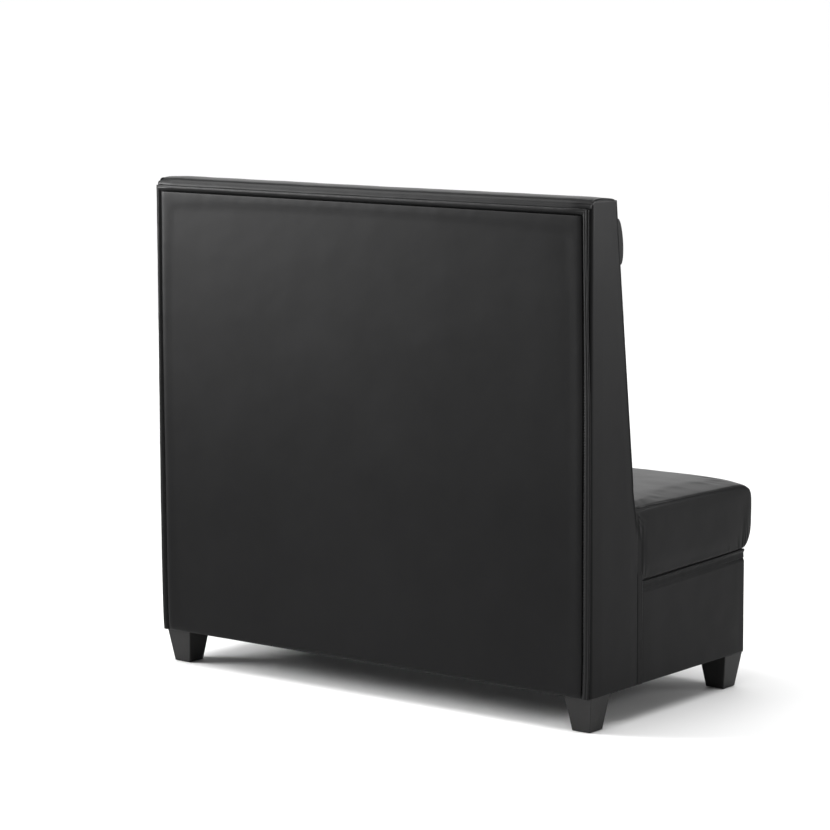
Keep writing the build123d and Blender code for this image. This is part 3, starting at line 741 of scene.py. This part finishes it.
def backSidePlace(hand):
    def place(u, v):
        cover = backSide
        flange, wall, rearTurn, flatEnd, frontTurn = cover["shares"]
        # depths follow the height of a level grid, and the rows above the seam spread up to the top edge
        rise, lift = rolledEdge(v, booth["seamHeight"] - booth["low"], cover["topRound"], cover["topShare"])
        z = booth["low"] + rise
        front = frontDepth(z)
        above = ease((z - cover["seamTop"]) / 0.05)
        frontRound = mix(cover["seamRound"], cover["frontRound"], above)
        rear = between(cover["rearEdge"], z) + 0.0004 * wave(hand, 0, z, 0.09)
        if u < flange:
            depth = cover["flangeDepth"]
            inward = mix(cover["flangeReach"], cover["grooveDepth"], u / flange)
        elif u < wall:
            depth = mix(cover["flangeDepth"], rear, shareOf(u, flange, wall))
            inward = cover["grooveDepth"]
        elif u < rearTurn:
            turn = shareOf(u, wall, rearTurn) * pi / 2
            depth = rear + cover["rearRound"] * (1 - cos(turn))
            inward = cover["grooveDepth"] * (1 - sin(turn))
        elif u < flatEnd:
            depth = mix(rear + cover["rearRound"], front - frontRound, shareOf(u, rearTurn, flatEnd))
            inward = 0.0
        elif u < frontTurn:
            turn = shareOf(u, flatEnd, frontTurn) * pi / 2
            depth = front - frontRound + frontRound * sin(turn)
            inward = frontRound * (1 - cos(turn))
        else:
            t = shareOf(u, frontTurn, 1)
            depth = front - cover["wrapBack"] * t * t
            inward = frontRound + mix(cover["seamWrap"], cover["wrap"], above) * t
        flat = clamp((depth - 0.012) / 0.03) * clamp((front - depth - 0.006) / 0.02)
        swell = 0.7 + 0.35 * wave(hand, depth, z, 0.16) + 0.18 * wave(hand, depth, z, 0.05)
        puff = cover["puff"] * flat * swell
        puff += 0.0003 * wave(hand * 2, depth, z, 0.028) * hump(front - depth - 0.012, 0.012)
        puff += cover["ridge"] * above * hump(front - depth - cover["ridgeIn"], cover["ridgeWidth"])
        inward += cover["topRound"] * (1 - lift)
        spread = ease((z - cover["topEdgeFrom"]) / cover["topEdgeRise"])
        z += (between(cover["topEdge"], depth) - booth["seamHeight"]) * spread
        return at(hand * (booth["half"] - inward + puff), depth, z)
    return place


for side, hand in (("left", -1), ("right", 1)):
    addPiece(f"backSideCover_{side}", clothGrid(*backSide["grid"], backSidePlace(hand)), black,
             (f"back_side_cover_{side}", f"back_side_padding_{side}"),
             thickness=vinylThickness["cover"], outward=(hand, 0, 0))
print("booth: sides of the back made")

# Top cap: one long cover over the top of the back, closed at its ends
cap = {
    # depth and height from the rear seam over the top and down to the head roll
    "middle": [(0.0010, 1.0712), (-0.0008, 1.0717), (-0.0017, 1.0726), (-0.0020, 1.0740), (-0.0015, 1.0758),
               (-0.0006, 1.0780), (0.0008, 1.0805), (0.0028, 1.0833), (0.0058, 1.0862), (0.0118, 1.0888),
               (0.0240, 1.0904), (0.0380, 1.0909), (0.0530, 1.0905), (0.0670, 1.0893), (0.0790, 1.0870),
               (0.0868, 1.0840), (0.0903, 1.0808), (0.0916, 1.0760), (0.0926, 1.0680), (0.0937, 1.0580),
               (0.0945, 1.0500), (0.0942, 1.0478), (0.0920, 1.0468)],
    "end": [(0.0030, 1.0722), (0.0020, 1.0732), (0.0018, 1.0744), (0.0020, 1.0756), (0.0024, 1.0772),
            (0.0034, 1.0792), (0.0052, 1.0812), (0.0080, 1.0832), (0.0115, 1.0852), (0.0165, 1.0868),
            (0.0250, 1.0882), (0.0370, 1.0890), (0.0500, 1.0888), (0.0630, 1.0880), (0.0755, 1.0866),
            (0.0850, 1.0844), (0.0898, 1.0808), (0.0914, 1.0760), (0.0926, 1.0680), (0.0937, 1.0580),
            (0.0945, 1.0500), (0.0942, 1.0478), (0.0920, 1.0468)],
    "blend": 0.050,  # length over which the end's profile turns into the middle's
    "endRound": 0.0042,
    "endShare": 0.045,
    "rise": 0.0024,  # the near end sits this much higher than the middle
    "frontHalf": 0.5765,
    # a tuck where the end is folded over the rear corner
    "tuck": 0.0016,
    "tuckWidth": 0.0030,
    "tuckSlope": 0.35,
    "tuckDepth": 0.012,
    "grid": (360, 110),
}


def capPlace(u, v):
    across, lift = rolledEdge(u, 2 * booth["half"], cap["endRound"], cap["endShare"])
    x = across - booth["half"]
    hand = -1 if x < 0 else 1
    fromEnd = booth["half"] - abs(x)
    middle, end = alongCurve(cap["middle"], v), alongCurve(cap["end"], v)
    blend = ease(fromEnd / cap["blend"])
    depth, z = mix(end[0], middle[0], blend), mix(end[1], middle[1], blend)
    if z > booth["seamHeight"]:
        z = booth["seamHeight"] + (z - booth["seamHeight"] + cap["rise"] * clamp(-x / booth["half"])) * lift
    elif depth > 0.05:
        x = hand * min(abs(x), cap["frontHalf"])
    fold = hump(fromEnd - 0.002 - cap["tuckSlope"] * clamp(depth, 0, 0.05), cap["tuckWidth"])
    z -= cap["tuck"] * fold * hump(depth - cap["tuckDepth"], cap["tuckDepth"]) * lift
    z += 0.0005 * lift * wave(x, depth, 0, 0.11) + 0.0003 * lift * wave(x, depth, 7, 0.035)
    depth += 0.0003 * wave(x, 3, z, 0.05)
    return at(x, depth, z)


addPiece("topCapCover", clothGrid(*cap["grid"], capPlace), black,
         ("top_cap_cover", "top_cap_foam"), thickness=vinylThickness["cover"], outward=(0, 0.2, 1))
print("booth: top cap made")

# Inside back: a padded panel that leans, with a slight crown, behind the seat and under the head roll
insideBack = {
    "half": 0.5735,
    "low": 0.302,
    "high": 1.050,
    "roll": 0.022,
    "rollShare": 0.10,
    "edgeDrop": 0.006,
    "crown": 0.012,
    "crownRange": (0.450, 0.947),
    "sunk": 0.0008,
    "grid": (170, 150),
}


def insideBackPlace(u, v):
    panel = insideBack
    across, lift = rolledEdge(u, 2 * panel["half"], panel["roll"], panel["rollShare"])
    x = across - panel["half"]
    z = mix(panel["low"], panel["high"], v)
    up = clamp(shareOf(z, *panel["crownRange"]))
    crown = panel["crown"] * sin(up * pi) * (1 - abs(x / panel["half"]) ** 3)
    out = crown - panel["edgeDrop"] * (1 - lift)
    out += 0.0006 * lift * (wave(x, 0, z, 0.19) + 0.4 * wave(x, 0, z, 0.06))
    edge = min(across, 2 * panel["half"] - across)
    out += 0.0005 * hump(edge - 0.012, 0.010) * wave(0, 0, z, 0.022)
    return at(x, frontDepth(z) + out - panel["sunk"], z)


addPiece("insideBackCover", clothGrid(*insideBack["grid"], insideBackPlace), black,
         ("inside_back_cover", "inside_back_foam"), thickness=vinylThickness["panel"],
         outward=(0, -1, 0))

# Head roll: a half-round bolster across the top of the inside back, with sewn end caps
headRoll = {
    "low": 0.953,
    "high": 1.0475,
    "half": 0.5838,
    "standOut": 0.0285,
    # distance from the end, and the share of the full stand-out there
    "growth": [(0.0, 0.56), (0.004, 0.64), (0.012, 0.72), (0.030, 0.84), (0.060, 0.95), (0.100, 1.0)],
    "fullness": 0.86,  # power of the half round, under 1 for a fuller section
    "endRound": 0.0035,
    "capShare": 0.05,
    "crowding": 1.7,  # power that crowds the grid towards the ends
    "seamDent": 0.0009,
    "pleat": 0.0010,
    "grid": (260, 56),
}


def headRollPlace(u, v):
    roll = headRoll
    middle, radius = (roll["low"] + roll["high"]) / 2, (roll["high"] - roll["low"]) / 2
    near = min(u, 1 - u)
    if near < roll["capShare"]:
        # the end cap, from its middle line out to its rim
        t = near / roll["capShare"]
        fromEnd = roll["endRound"] * max(0.0, (t - 0.75) / 0.25) ** 2
        out = roll["standOut"] * roll["growth"][0][1] * sin(t * pi / 2)
    else:
        t = shareOf(near, roll["capShare"], 0.5)
        fromEnd = roll["endRound"] + (roll["half"] - roll["endRound"]) * t ** roll["crowding"]
        out = roll["standOut"] * between(roll["growth"], fromEnd)
        out -= roll["seamDent"] * hump(fromEnd - 0.0062, 0.0011)
    x = (roll["half"] - fromEnd) * (-1 if u < 0.5 else 1)
    turn = mix(-pi / 2, pi / 2, v)
    pleats = roll["pleat"] * hump(fromEnd - 0.014, 0.010) * wave(turn * 0.05, 0, x / 8, 0.008)
    out = (out + pleats) * cos(turn) ** roll["fullness"]
    z = middle + radius * sin(turn)
    out += 0.0007 * cos(turn) * clamp(fromEnd / 0.02) * (wave(x, 0, z, 0.12) + 0.5 * wave(x, 0, z, 0.04))
    return at(x, leanDepth(z) - 0.0004 + out, z)


addPiece("headRollCover", clothGrid(*headRoll["grid"], headRollPlace), black,
         ("head_roll_cover", "head_roll_foam"), thickness=vinylThickness["cover"],
         outward=(0, -1, 0))
print("booth: inside back and head roll made")

# Seat cushion: a crowned top panel sewn to an upright boxing, made from one subdivided box
seat = {
    # depth and height of the seam line along the top, and of the front below it
    "topLine": [(0.1690, 0.4412), (0.2400, 0.4418), (0.3200, 0.4408), (0.4000, 0.4394), (0.4800, 0.4376),
                (0.5350, 0.4358), (0.5640, 0.4342), (0.5840, 0.4312), (0.5975, 0.4252), (0.6046, 0.4156)],
    "frontLine": [(0.6046, 0.4156), (0.6074, 0.4040), (0.6076, 0.3860), (0.6068, 0.3660), (0.6058, 0.3460),
                  (0.6026, 0.3300), (0.5956, 0.3160), (0.5862, 0.3068), (0.5775, 0.3028)],
    "rearDepth": 0.1690,
    "depthSpan": 0.4356,  # from there to the seam at the front
    "rearTuck": 0.0065,  # how far the top's rear edge is tucked under the back
    # the top panel: a roll beside its seam, then a crown
    "rollHeight": 0.0056,
    "rollWidth": 0.0075,
    "crown": 0.0120,
    "crownReach": 0.040,
    "seamIn": 0.0016,
    # the boxing: its rounded front corners, its swell between the seams and its tuck at the joint
    "cornerRound": 0.008,
    "sideIn": 0.0012,
    "sideSwell": 0.0014,
    "frontSwell": 0.0024,
    "footTuck": 0.0020,
    # the joint between cushion and base sags a little towards the back
    "jointRear": 0.2928,
    "jointFront": 0.3022,
    "jointFrom": 0.187,
    "jointSpan": 0.388,
    "jointSag": 1.25,
    "crowding": 1.8,  # power that crowds the grid towards the ends
    "cuts": (199, 119, 49),
    "settleLimit": 0.0015,
}
topShares = [((depth - seat["rearDepth"]) / seat["depthSpan"], number / (len(seat["topLine"]) - 1))
             for number, (depth, z) in enumerate(seat["topLine"])]


def jointHeight(depth):
    share = clamp((depth - seat["jointFrom"]) / seat["jointSpan"])
    return mix(seat["jointRear"], seat["jointFront"], share ** seat["jointSag"])


def seatRim(y, z):
    # depth and height on the side of the cushion, a patch between its four edge lines,
    # and the distance to its front
    topRear, topFront = seat["topLine"][0], seat["topLine"][-1]
    footRear, footFront = (topRear[0], seat["jointRear"]), seat["frontLine"][-1]
    footDepth = mix(footRear[0], footFront[0], y)
    top = alongCurve(seat["topLine"], between(topShares, y))
    foot = (footDepth, mix(jointHeight(footDepth), footFront[1], ease((y - 0.9) / 0.1)))
    front = alongCurve(seat["frontLine"], 1 - z)
    rear = (mix(footRear[0], topRear[0], z) - seat["rearTuck"] * ease((z - 0.75) / 0.25),
            mix(footRear[1], topRear[1], z))
    made = []
    for axis in (0, 1):
        ruled = mix(foot[axis], top[axis], z) + mix(rear[axis], front[axis], y)
        ruled -= mix(mix(footRear[axis], footFront[axis], y), mix(topRear[axis], topFront[axis], y), z)
        made.append(ruled)
    return made[0], made[1], max(0.0, front[0] - made[0])


# Pleats of the boxing: where each starts, its direction in degrees, length, width and height
boxingPleats = [
    (0.174, 0.428, -34, 0.030, 0.0022, 0.0015),
    (0.174, 0.419, -46, 0.034, 0.0022, 0.0018),
    (0.174, 0.409, -56, 0.038, 0.0026, 0.0016),
    (0.176, 0.398, -66, 0.030, 0.0024, 0.0012),
    (0.570, 0.308, 84, 0.066, 0.0024, 0.0011),
    (0.579, 0.312, 88, 0.062, 0.0022, 0.0013),
    (0.588, 0.322, 92, 0.052, 0.0020, 0.0010),
    (0.556, 0.304, 96, 0.030, 0.0022, 0.0007),
    (0.516, 0.303, 92, 0.018, 0.0020, 0.0005),
    (0.198, 0.300, 70, 0.022, 0.0022, 0.0006),
]


def pleatHeight(depth, z):
    total = 0.0
    for startDepth, startZ, degrees, length, width, height in boxingPleats:
        aim = radians(degrees)
        dx, dz = depth - startDepth, z - startZ
        along = dx * cos(aim) + dz * sin(aim)
        aside = -dx * sin(aim) + dz * cos(aim)
        if -0.004 < along < length:
            fade = clamp((along + 0.004) / 0.006) * (1 - clamp(along / length)) ** 0.8
            spread = width * (1 + 1.4 * clamp(along / length))
            total += height * fade * (hump(aside, spread) - 0.7 * hump(aside - 1.9 * spread, spread))
    return total


def sideEdge(y, z, hand):
    # X of the cushion's side at one place of its patch, without pleats
    depth, height, fromFront = seatRim(y, z)
    inward = seat["sideIn"] - seat["sideSwell"] * (1 - (2 * z - 1) ** 4) * (1 - (2 * y - 1) ** 6)
    inward += seat["seamIn"] * hump(1 - z, 0.016) + seat["footTuck"] * hump(z, 0.022)
    inward += seat["cornerRound"] * (1 - quarter(fromFront / seat["cornerRound"]))
    inward -= 0.0006 * wave(hand, depth, height, 0.10) + 0.0003 * wave(hand, depth, height, 0.035)
    # it lies a little deeper behind the sewn strip and swells just in front of it
    behindStrip = (1 - ease((depth - 0.1845) / 0.004)) * (1 - ease((height - 0.385) / 0.022))
    inward += 0.0004 * behindStrip - 0.0007 * hump(depth - 0.1905, 0.003) * (1 - ease((height - 0.40) / 0.02))
    return booth["half"] - inward


def makeSeatCushion():
    bm = bmesh.new()
    bmesh.ops.create_cube(bm, size=1.0)
    for axis, cuts in enumerate(seat["cuts"]):
        edges = [e for e in bm.edges if abs(e.verts[0].co[axis] - e.verts[1].co[axis]) > 0.5]
        bmesh.ops.subdivide_edges(bm, edges=edges, cuts=cuts, use_grid_fill=True)
    for vertex in bm.verts:
        across, front, up = 2 * vertex.co.x, 0.5 - vertex.co.y, vertex.co.z + 0.5
        hand = -1 if across < 0 else 1
        y, z = 0.5 - 0.5 * cos(pi * front), 0.5 - 0.5 * cos(pi * up)
        depth, height, fromFront = seatRim(y, z)
        edge = sideEdge(y, z, hand)
        if abs(across) > 0.9999:
            vertex.co = at(hand * edge, depth, height)
            continue
        fromEnd = edge * (1 - abs(across)) ** seat["crowding"]
        x = edge - fromEnd
        if up > 0.9999:
            # the top panel rolls up from its seam and swells to a crown
            roll = quarter(fromEnd / seat["rollWidth"]) * quarter(fromFront / 0.010)
            crown = (1 - exp(-fromEnd / seat["crownReach"])) * quarter(fromFront / 0.030) * quarter(y / 0.16)
            dent = 0.0005 * hump(fromEnd - 0.0030, 0.0007)
            height += seat["rollHeight"] * roll + seat["crown"] * crown - dent
            uneven = 0.0010 * wave(x * hand, depth, 0, 0.13) + 0.0005 * wave(x * hand, depth, 4, 0.045)
            height += uneven * roll
            x += seat["seamIn"] * hump(fromEnd - 0.0016, 0.0022)
        if front > 0.9999:
            belly = quarter(fromEnd / 0.05)
            swell = seat["frontSwell"] * (1 - (2 * z - 1) ** 6) + 0.0007 * wave(x * hand, 0, height, 0.11)
            depth += swell * belly
        vertex.co = at(hand * x, depth, height)
    return bm


def cushionHeld(place):
    # sewn down along the seam round the top, fixed under and behind, freer between
    depth = booth["backPlane"] - place.y
    share = (depth - seat["rearDepth"]) / seat["depthSpan"]
    seamHeight = alongCurve(seat["topLine"], between(topShares, share))[1]
    fromEnd = booth["half"] - abs(place.x)
    seam = hump(place.z - seamHeight, 0.002) * (1 - ease((fromEnd - 0.002) / 0.003))
    fixed = 1 - ease((place.z - 0.300) / 0.02) * ease((depth - 0.172) / 0.02)
    frontDepth, frontHeight = seat["topLine"][-1]
    front = hump(depth - frontDepth, 0.004) * hump(place.z - frontHeight, 0.004)
    return clamp(max(seam, fixed, front, 0.0))


seatMesh = settle("seat cushion", makeSeatCushion(), cushionHeld, seat["settleLimit"])
seatMesh.normal_update()
for vertex in seatMesh.verts:
    # the boxing is pleated where it turns the corners
    if abs(vertex.normal.x) > 0.75:
        vertex.co.x *= 1 + pleatHeight(booth["backPlane"] - vertex.co.y, vertex.co.z) / booth["half"]
seatCushion = addPiece("seatCushion", seatMesh, black,
                       ("cushion_top_cover", "cushion_boxing", "seat_foam"), closed=True)
print("booth: seat cushion made,", len(seatCushion.data.polygons), "faces")

# Base: side and front covers under a hollow band, with a sewn strip beside the back
base = {
    # how far in from the cover and how far below the joint, from the joint's lip down to the cover's shoulder
    "bandProfile": [(0.0240, 0.0006), (0.0080, 0.0006), (0.0036, 0.0008), (0.0012, 0.0020), (0.0006, 0.0036),
                    (0.0010, 0.0050), (0.0024, 0.0064), (0.0040, 0.0084), (0.0044, 0.0112), (0.0040, 0.0145),
                    (0.0034, 0.0175), (0.0036, 0.0195), (0.0056, 0.0205)],
    "bandWidth": 0.0190,
    "bandSegments": {"left": 130, "front": 300, "right": 130, "up": 30},
    "sideSpan": (booth["stripDepth"], 0.5752),
    "frontSpan": (-0.5852, 0.5852),
    "shoulderIn": 0.0032,
    "shoulderDrop": 0.0096,
    "edgeRound": 0.0035,
    "edgeShare": 0.06,
    "shoulderShare": 0.16,
    "puff": 0.0007,
    "sideGrid": (120, 90),
    "frontGrid": (220, 90),
}


def bandPlace(side):
    def place(u, v):
        inward, drop = alongCurve(base["bandProfile"], v)
        half, front = booth["half"] - 0.4 * inward, booth["baseDepth"] - 0.4 * inward
        if side == "front":
            x, depth = mix(-half, half, u), front
            run, z = x, seat["jointFront"] - drop
        else:
            hand = -1 if side == "left" else 1
            inward *= mix(1.0, 0.4, ease((u - 0.7) / 0.3))
            x, depth = hand * (booth["half"] - inward), mix(booth["stripDepth"], front, u)
            run, z = depth + hand, jointHeight(depth) - drop
        z += 0.0004 * wave(run, 0, 9, 0.11) + 0.0002 * wave(run, 0, 9, 0.03)
        ripple = 0.0003 * wave(run, 0, z, 0.020)
        if side == "front":
            depth += ripple
        else:
            x += ripple * hand
        return at(x, depth, z)
    return place


facings = {"left": (-1, 0, 0), "front": (0, -1, 0), "right": (1, 0, 0)}
bandMesh = joined([
    (clothGrid(base["bandSegments"][side], base["bandSegments"]["up"], bandPlace(side)), facing)
    for side, facing in facings.items()])
addPiece("baseBand", bandMesh, black, ("base_band",), thickness=vinylThickness["strip"])


def basePanelPlace(side):
    spanFrom, spanTo = base["frontSpan" if side == "front" else "sideSpan"]
    lowShare, highShare = base["edgeShare"], base["shoulderShare"]

    def place(u, v):
        width = spanTo - spanFrom
        across, liftAcross = rolledEdge(u, width, base["edgeRound"], base["edgeShare"])
        spot = spanFrom + across
        high = (seat["jointFront"] if side == "front" else jointHeight(spot)) - base["bandWidth"]
        inward = base["edgeRound"] * (1 - liftAcross) * (0.25 if side != "front" and u < 0.5 else 1.0)
        if v < lowShare:
            turn = v / lowShare * pi / 2
            z = booth["low"] + base["edgeRound"] * (1 - cos(turn))
            inward += base["edgeRound"] * (1 - sin(turn))
        elif v > 1 - highShare:
            # a soft shoulder under the band
            t = (1 - v) / highShare
            z = high - base["shoulderDrop"] * t
            inward += base["shoulderIn"] * (1 - ease(t))
        else:
            share = (v - lowShare) / (1 - lowShare - highShare)
            z = mix(booth["low"] + base["edgeRound"], high - base["shoulderDrop"], share)
        puff = base["puff"] * clamp(across / 0.03) * clamp((width - across) / 0.03) * clamp((high - z) / 0.03)
        puff *= 0.6 + 0.5 * wave(spot, 0, z, 0.15)
        puff += 0.0004 * wave(spot, 3, z, 0.05) + 0.0004 * hump(high - z - 0.007, 0.003)
        if side == "front":
            return at(spot, booth["baseDepth"] - inward + puff, z)
        hand = -1 if side == "left" else 1
        return at(hand * (booth["half"] - inward + puff), spot, z)
    return place


for side, hand in (("left", -1), ("right", 1)):
    grid = clothGrid(*base["sideGrid"], basePanelPlace(side))
    addPiece(f"baseSideCover_{side}", grid, black,
             (f"base_side_cover_{side}", f"base_side_padding_{side}"),
             thickness=vinylThickness["cover"], outward=(hand, 0, 0))
addPiece("baseFrontCover", clothGrid(*base["frontGrid"], basePanelPlace("front")), black,
         ("base_front_cover", "base_front_padding"), thickness=vinylThickness["cover"],
         outward=(0, -1, 0))

# Side strips: narrow upright strips between the back's sides and the base's, tucked in beside the cushion
sideStrip = {
    # depth and how far in from the booth's end
    "profile": [(0.1676, 0.0050), (0.1682, 0.0026), (0.1692, 0.0010), (0.1712, 0.0003), (0.1760, 0.0001),
                (0.1820, 0.0000), (0.1850, -0.0002), (0.1868, 0.0000), (0.1880, 0.0008), (0.1884, 0.0030)],
    "low": booth["low"] + 0.0004,
    "high": 0.398,
    "tuckFrom": 0.300,
    "tuckRise": 0.030,
    "tuckIn": 0.0034,
    "tuckNarrower": 0.008,
    "grid": (36, 140),
    # its stitches: how far in, their depth, lowest place and length, and the threads' lean
    "seamIn": 0.0022,
    "seamDepth": 0.1680,
    "seamLow": 0.077,
    "seamRun": 0.314,
    "seamLean": 0.25,
}


def stripPlace(hand):
    def place(u, v):
        depth, inward = alongCurve(sideStrip["profile"], u)
        z = mix(sideStrip["low"], sideStrip["high"], v)
        top = ease((z - sideStrip["tuckFrom"]) / sideStrip["tuckRise"])
        inward += sideStrip["tuckIn"] * top
        inward += 0.0003 * wave(depth, hand, z, 0.04) + 0.0002 * wave(depth, hand, z, 0.012)
        depth -= sideStrip["tuckNarrower"] * top * clamp((depth - 0.168) / 0.02)
        return at(hand * (booth["half"] - inward), depth, z)
    return place


def stripSeamPlace(hand):
    x = hand * (booth["half"] - sideStrip["seamIn"])
    return lambda distance: at(x, sideStrip["seamDepth"], sideStrip["seamLow"] + distance)


for side, hand in (("left", -1), ("right", 1)):
    addPiece(f"sideStrip_{side}", clothGrid(*sideStrip["grid"], stripPlace(hand)), black,
             (f"side_strip_{side}",), thickness=vinylThickness["cover"], outward=(hand, 0, 0))
sewStitches("sideSeamStitches", [
    (stripSeamPlace(hand), sideStrip["seamRun"], (hand, 0, 0), sideStrip["seamLean"]) for hand in (-1, 1)])
print("booth: base made")

# Dust covers stapled under the two boxes
dustCover = {
    "half": 0.578,
    "height": 0.0752,
    "depths": {"back": (0.002, 0.168), "seat": (0.1690, 0.5680)},
    "restsOn": {"back": "back_rear_rail", "seat": "seat_front_panel"},
    "sag": 0.0012,
    "thickness": 0.0006,
    "grid": (120, 36),
}


def dustCoverPlace(depths):
    def place(u, v):
        x = mix(-dustCover["half"], dustCover["half"], u)
        depth = mix(depths[0], depths[1], v)
        sag = dustCover["sag"] * sin(u * pi) * sin(v * pi) * (0.7 + 0.5 * wave(x, depth, 0, 0.12))
        return at(x, depth, dustCover["height"] - sag)
    return place


for box, depths in dustCover["depths"].items():
    sheet = addPiece(f"dustCover_{box}", clothGrid(*dustCover["grid"], dustCoverPlace(depths)),
                     finishes["dust_cloth"], (f"{box}_dust_cover",),
                     thickness=dustCover["thickness"], outward=(0, 0, -1))

# Floor, light and camera
studio = {
    "floorSize": 260.0,
    "floorShades": (0.800, 0.815),
    "sky": 0.31,
    "sunStrength": 3.1,
    "sunSpread": 60.0,
    "boxes": [
        # name, place, aimed at, width, height, watts, spread in degrees
        ("rearSoftbox", (2.9, 1.9, 1.75), (0.25, 0.3, 1.17), 1.8, 1.6, 43.0, 60.0),
        ("sideSoftbox", (-2.9, -1.6, 2.0), (-0.5, 0.1, 1.45), 1.8, 1.6, 22.0, 37.0),
        ("frontSoftbox", (3.4, -5.0, 2.2), (0.0, -0.1, 0.45), 4.5, 4.6, 40.0, 120.0),
        ("topSoftbox", (1.7, 0.9, 3.0), (0.0, 0.3, 1.09), 1.6, 1.6, 8.0, 50.0),
    ],
}
bpy.ops.mesh.primitive_plane_add(size=studio["floorSize"])
floor = bpy.context.object
floor.name = "floor"
floorShader = Shader("paleFloor")
cloudy = floorShader.noiseAt(0.4, 2.0)
dull, bright = studio["floorShades"]
floor.data.materials.append(floorShader.finish(
    Base_Color=floorShader.colourMix(cloudy, (dull, dull, dull), (bright, bright, bright)),
    Roughness=0.8, Specular_IOR_Level=0.2))

world = bpy.data.worlds.new("studioSky")
world.use_nodes = True
world.node_tree.nodes["Background"].inputs["Color"].default_value = (1.0, 1.0, 1.0, 1)
world.node_tree.nodes["Background"].inputs["Strength"].default_value = studio["sky"]
bpy.context.scene.world = world


def addLamp(name, kind, place, target, **settings):
    lamp = bpy.data.lights.new(name, kind)
    for setting, value in settings.items():
        setattr(lamp, setting, value)
    holder = bpy.data.objects.new(name, lamp)
    holder.location = place
    holder.rotation_euler = (Vector(target) - Vector(place)).to_track_quat("-Z", "Y").to_euler()
    bpy.context.scene.collection.objects.link(holder)


addLamp("overheadLight", "SUN", (0, 0, 6), (0, 0, 0), energy=studio["sunStrength"],
        angle=radians(studio["sunSpread"]))
for name, place, target, width, height, watts, spread in studio["boxes"]:
    addLamp(name, "AREA", place, target, shape="RECTANGLE", size=width, size_y=height, energy=watts,
            spread=radians(spread))

# The camera stands behind the left end; its angles are in radians, its lens and film in millimetres
view = {"place": (-4.3187, 5.5694, 1.6037), "turn": 0.671, "drop": 0.145, "tilt": -0.006, "lens": 141.15,
        "film": 36.0, "reach": 500.0}
camera = bpy.data.cameras.new("camera")
camera.lens = view["lens"]
camera.sensor_width = camera.sensor_height = view["film"]
camera.clip_end = view["reach"]
cameraObject = bpy.data.objects.new("camera", camera)
bpy.context.scene.collection.objects.link(cameraObject)
level = cos(view["drop"])
aim = Vector((sin(view["turn"]) * level, -cos(view["turn"]) * level, -sin(view["drop"])))
across = aim.cross(Vector((0, 0, 1))).normalized()
upward = across.cross(aim)
tilted = across * cos(view["tilt"]) + upward * sin(view["tilt"])
raised = upward * cos(view["tilt"]) - across * sin(view["tilt"])
cameraObject.matrix_world = (Matrix.Translation(view["place"])
                             @ Matrix((tilted, raised, -aim)).transposed().to_4x4())
bpy.context.scene.camera = cameraObject
bpy.context.scene.view_settings.view_transform = "Standard"

print("booth: scene ready")
